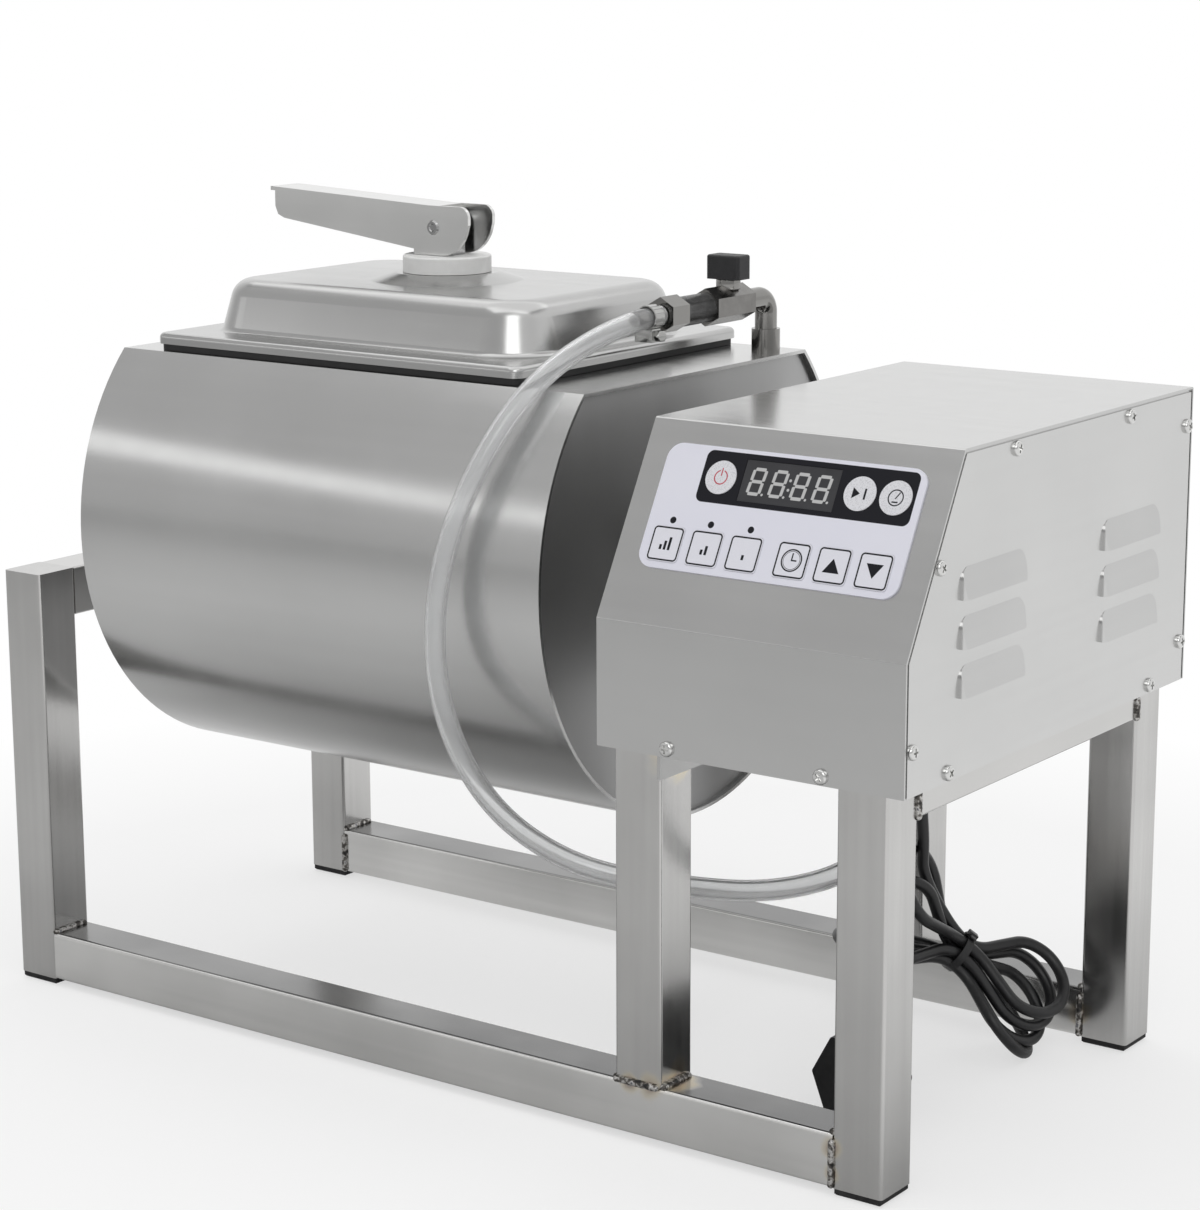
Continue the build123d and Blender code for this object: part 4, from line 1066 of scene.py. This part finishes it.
# half of a loop's fold: how far back from its end, and how far out
FOLD_SHAPE = ((0.0288, 0.0233), (0.0116, 0.0215), (0.0, 0.00865))
hank_axes = Matrix.Rotation(HANK_TURN, 3, "Z") @ Matrix.Rotation(HANK_LEAN, 3, "Y")
# fan in the hank's plane, tilt out of it, roll about itself, reach from the tie
hank_loops = [
    (11.0, 5.0, 53.0, 0.068),
    (158.0, -12.0, -64.0, 0.072),
    (4.0, 8.0, 54.0, 0.068),
    (205.0, -17.0, -90.0, 0.074),
    (-14.0, -4.0, 82.0, 0.070),
    (182.0, -17.0, -10.0, 0.069),
    (-6.0, 0.0, 63.0, 0.068),
]
# where each strand lies in the tie: in depth and in height
tie_places = [
    (0.0037, 0.0066), (-0.0037, 0.0066), (0.0074, 0.0), (-0.0074, 0.0),
    (0.0074, -0.0066), (-0.0074, -0.0066), (0.0, 0.0), (0.0, -0.0066),
]


def loop_points(fan, tilt, roll, reach, first, last, side):
    """One loop's control points, from its strand in the tie to the next."""
    fan, tilt, roll = (math.radians(angle) for angle in (fan, tilt, roll))
    turned = Matrix.Rotation(-fan, 3, "Y") @ Matrix.Rotation(tilt, 3, "Z")
    ahead = turned @ Vector((1, 0, 0))
    wide = turned @ Vector((0, math.sin(roll), math.cos(roll)))
    fold = [(reach - back, out) for back, out in FOLD_SHAPE]
    fold += [(along, -out) for along, out in reversed(fold)]
    bends = []
    for number, (along, out) in enumerate(fold):
        share = (number + 0.5) / len(fold)
        bends.append(ahead * along + wide * out + STRAND_SHARE * first.lerp(last, share))
    leave = first + Vector((side * STRAND_HOLD, 0, 0))
    come = last + Vector((side * STRAND_HOLD, 0, 0))
    out_ease = bends[0] + (leave - bends[0]).normalized() * FOLD_EASE
    in_ease = bends[-1] + (come - bends[-1]).normalized() * FOLD_EASE
    return [leave, out_ease, *bends, in_ease, come]


strands = [Vector((0, depth, height)) for depth, height in tie_places]
hank_points = [strands[0] - Vector((STRAND_HOLD, 0, 0))]
for number, loop in enumerate(hank_loops):
    side = 1 if number % 2 == 0 else -1
    hank_points += loop_points(*loop, strands[number], strands[number + 1], side)
hank_points.append(strands[-1] - Vector((STRAND_HOLD, 0, 0)))
cord_route = [
    (0.20855, 0.0500, 0.2316),
    (0.20855, 0.0500, 0.1950),
    (0.2090, 0.0505, 0.1550),
    (0.2105, 0.0520, 0.1290),
    (0.2080, 0.0545, 0.1095),
]
cord_route += [tuple(HANK_MIDDLE + hank_axes @ spot) for spot in hank_points]
cord_route += [
    (0.1810, 0.0430, 0.0640),
    (0.1800, 0.0170, 0.0500),
    (0.2040, 0.0040, 0.0365),
    (0.2250, -0.0080, 0.0235),
    (0.2250, -0.0280, 0.0235),
]
lead = cord_spline("mains_lead", cord_route, CORD_DIAMETER / 2)
cord_pvc, shader, place = new_finish("cord_pvc", Specular_IOR_Level=0.5)
skin = place.add("TexNoise", {"Vector": place, "Scale": 240.0, "Detail": 4.0})
feed(
    shader,
    Base_Color=skin.paint((0.006, 0.006, 0.007), (0.02, 0.02, 0.021)),
    Roughness=0.28 + 0.22 * skin,
    Normal=place.add("Bump", {"Height": skin, "Strength": 0.1, "Distance": 0.0003}),
)
place_piece(lead, cord_pvc, "base", "black_rubber", "mains_cord", "cord_hank")
dress(cord_pvc, "mains_plug")

# ---------------------------------------------------------------------------
# Cable tie. Black nylon, moulded in one piece and drawn tight round the hank's
# waist: a strap, the lock that it passes through, and its tail, cut short.

TIE_WIDTH = 0.0046
TIE_HALF_DEPTH = 0.0124
TIE_HALF_HEIGHT = 0.0120
STRAP_THICKNESS = 0.0012
LOCK_SIZE = (0.0034, 0.0058, 0.0060)
LOCK_PROUD = 0.0008
LOCK_EDGE = 0.0005
TAIL_EDGE = 0.0011
TAIL_REACH = (0.0004, -0.0040, 0)
clear_choice()
bpy.ops.mesh.primitive_cylinder_add(
    vertices=48, radius=1.0, depth=TIE_WIDTH, end_fill_type="NOTHING"
)
strap = bpy.context.object
strap.scale = (TIE_HALF_HEIGHT, TIE_HALF_DEPTH, 1.0)
settle(strap)
strap_gauge = strap.modifiers.new("gauge", "SOLIDIFY")
strap_gauge.thickness = STRAP_THICKNESS
strap_gauge.offset = 0.0
apply_modifiers(strap)
clear_choice()
bpy.ops.mesh.primitive_cube_add(size=1.0)
tie_lock = bpy.context.object
tie_lock.scale = LOCK_SIZE
settle(tie_lock)
bpy.ops.object.mode_set(mode="EDIT")
choose(tie_lock, "FACE", lambda face: face.normal.y < -0.9)
bpy.ops.mesh.inset(thickness=TAIL_EDGE, depth=0.0)
bpy.ops.mesh.extrude_region_move(TRANSFORM_OT_translate={"value": TAIL_REACH})
bpy.ops.object.mode_set(mode="OBJECT")
soften(tie_lock, LOCK_EDGE, 2)
tie_lock.location = (-TIE_HALF_HEIGHT - LOCK_PROUD, 0.0, 0.0)
settle(tie_lock)
tie = joined("cable_tie", [strap, tie_lock])
lengthways = Matrix.Rotation(math.radians(90), 4, "Y")
tie.matrix_world = Matrix.Translation(HANK_MIDDLE) @ hank_axes.to_4x4() @ lengthways
settle(tie)
smooth(tie, 30)
place_piece(tie, cord_pvc, "base", "black_plastic", "cord_tie")

# ---------------------------------------------------------------------------
# Studio floor. A pale matt sheet under the object. Far off it turns into the white
# backdrop, to the camera and in metal and glass; near the object it keeps the shadow.
# In metal and glass it carries a painted shade, greyer near the object.

FLOOR_SIZE = 12.0
FLOOR_DROP = 0.0005
FADE_START = 0.05
FADE_END = 0.80
NEAR_LIFT = 0.62
FAR_PAINTED_SHADE = 0.22
NEAR_PAINTED_SHADE = 0.50
PAINTED_SHADE_GREY = (0.25, 0.25, 0.25)
# from where to where the floor changes, in metres
NEAR_REACH = (0.75, 0.15)
NEAR_RIGHT = (0.43, 0.28)
WHITE_BEHIND = (-0.05, 0.45)
WHITE_RIGHT = (0.30, 0.55)
clear_choice()
bpy.ops.mesh.primitive_grid_add(
    x_subdivisions=8, y_subdivisions=8, size=FLOOR_SIZE, location=(0.0, 0.0, -FLOOR_DROP)
)
floor = bpy.context.object
floor.name = "studio_floor"
floor_paint, shader, place = new_finish("floor_paint", Roughness=0.9, Specular_IOR_Level=0.1)


def ray_kinds(tree):
    """Wires that are 1 for camera rays, and for rays that metal or glass sends on."""
    camera_ray = Wire(tree).add("LightPath", pick="Is Camera Ray")
    glossy_ray = camera_ray.other("Is Glossy Ray")
    return camera_ray, glossy_ray.most(camera_ray.other("Is Transmission Ray"))


def grade(wire, start, end):
    """Rises from 0 at one value of a wire to 1 at another."""
    return ((wire - start) / (end - start)).held()


camera_ray, mirror_ray = ray_kinds(floor_paint.node_tree)
dust = place.add("TexNoise", {"Vector": place, "Scale": 3.0, "Detail": 2.0})
away = place.add("VectorMath", {0: place}, pick="Value", operation="LENGTH")
rightward, rearward = place.axes()[:2]
near = grade(away, *NEAR_REACH) * grade(rightward, *NEAR_RIGHT)
# painted shade: in metal and glass the floor's colour is painted grey, more so near the object,
# for the shade under it
painted_floor_shade = mirror_ray * (FAR_PAINTED_SHADE + (NEAR_PAINTED_SHADE - FAR_PAINTED_SHADE) * near)
pale = dust.paint((0.86, 0.86, 0.86), (0.88, 0.88, 0.88))
feed(shader, Base_Color=painted_floor_shade.paint(pale, PAINTED_SHADE_GREY))
seen_white = camera_ray * grade(away, FADE_START, FADE_END).most(NEAR_LIFT)
mirrored_white = mirror_ray * grade(rearward, *WHITE_BEHIND).most(grade(rightward, *WHITE_RIGHT))
white = place.add("Emission", {"Color": (1.0, 1.0, 1.0, 1.0), "Strength": 1.0})
floor_skin = place.add(
    "MixShader",
    {0: seen_white.most(mirrored_white), 1: Wire(place.tree, shader.outputs[0]), 2: white},
)
output = floor_paint.node_tree.nodes["Material Output"]
floor_paint.node_tree.links.new(floor_skin.out, output.inputs["Surface"])
floor.data.materials.append(floor_paint)

# ---------------------------------------------------------------------------
# Studio surround. White to the camera. In metal and glass it is white behind
# the object and dimmer in front, glows a little at the upper right, and fades
# overhead, where the top soft box stands.

FRONT_LEVEL = 0.58
ROOM_LEVEL = 0.5
RIGHT_LOSS = 0.30
RIGHT_GLOW = 0.30
OVERHEAD_LOSS = 0.95
FRONT_RISE = 0.22
# from where to where a heading's share of an axis makes the change
BEHIND_SPAN = (-0.1, 0.5)
FRONT_SPAN = (0.0, -0.2)
RIGHT_SPAN = (0.15, 0.45)
GLOW_SPAN = (0.20, 0.35)
OVERHEAD_SPAN = (0.60, 0.80)
scene = bpy.context.scene
world = bpy.data.worlds.new("studio_surround")
scene.world = world
world.use_nodes = True
sky = world.node_tree
camera_ray, mirror_ray = ray_kinds(sky)
rightward, rearward, rise = Wire(sky).add("TexCoord", pick="Generated").axes()
behind_object = grade(rearward, *BEHIND_SPAN)
in_front = grade(rearward, *FRONT_SPAN)
to_right = grade(rightward, *RIGHT_SPAN)
overhead = grade(rise - FRONT_RISE * in_front, *OVERHEAD_SPAN)
right_glow = RIGHT_GLOW * to_right * grade(rise, *GLOW_SPAN)
behind_level = (1.0 - FRONT_LEVEL) * behind_object * (1.0 - RIGHT_LOSS * to_right)
around = FRONT_LEVEL + behind_level + right_glow
mirrored = around.least(1.0) * (1.0 - OVERHEAD_LOSS * overhead)
room = ROOM_LEVEL * (1.0 - mirror_ray)
background = sky.nodes["Background"]
background.inputs["Color"].default_value = (1.0, 1.0, 1.0, 1.0)
sky.links.new(camera_ray.most(mirror_ray * mirrored).most(room).out, background.inputs["Strength"])

# ---------------------------------------------------------------------------
# Studio lamps. Two soft boxes, a wide one above and one at the front right, and
# a weak strip light whose reflection makes the highlight along the drum.


def soft_lamp(name, spot, aim, size, power):
    """A rectangular soft box that points at a spot on the object."""
    lamp = bpy.data.lights.new(name, "AREA")
    lamp.shape = "RECTANGLE"
    lamp.size, lamp.size_y = size
    lamp.energy = power
    holder = bpy.data.objects.new(name, lamp)
    scene.collection.objects.link(holder)
    holder.location = spot
    holder.rotation_euler = (Vector(aim) - Vector(spot)).to_track_quat("-Z", "Y").to_euler()


soft_lamp("top_softbox", (-0.1, 0.2, 2.4), (0.0, 0.0, 0.2), (3.2, 3.2), 36)
soft_lamp("front_softbox", (1.3, -1.9, 1.7), (0.0, 0.0, 0.25), (1.2, 1.2), 9)
soft_lamp("drum_strip", (-0.50, -0.67, 0.556), (-0.1, -0.147, 0.34), (0.9, 0.08), 0.19)

# ---------------------------------------------------------------------------
# Camera. It stands where the photograph was taken from, by the frame's corners:
# to the front right of the object and a little above it.

CAMERA_LENS = 92.78
CAMERA_PLACE = (1.0659, -1.44616, 0.64405)
CAMERA_RIGHT = (0.81017, 0.58618, -0.00356)
CAMERA_ABOVE = (-0.12197, 0.17451, 0.97707)
CAMERA_BEHIND = (0.57336, -0.79116, 0.21288)
camera = bpy.data.cameras.new("photo_camera")
camera.sensor_fit = "HORIZONTAL"
camera.sensor_width = 36.0
camera.lens = CAMERA_LENS
camera.clip_end = 50.0
viewer = bpy.data.objects.new("photo_camera", camera)
scene.collection.objects.link(viewer)
turn = Matrix((CAMERA_RIGHT, CAMERA_ABOVE, CAMERA_BEHIND)).transposed().to_4x4()
viewer.matrix_world = Matrix.Translation(CAMERA_PLACE) @ turn
scene.camera = viewer
scene.view_settings.view_transform = "Standard"
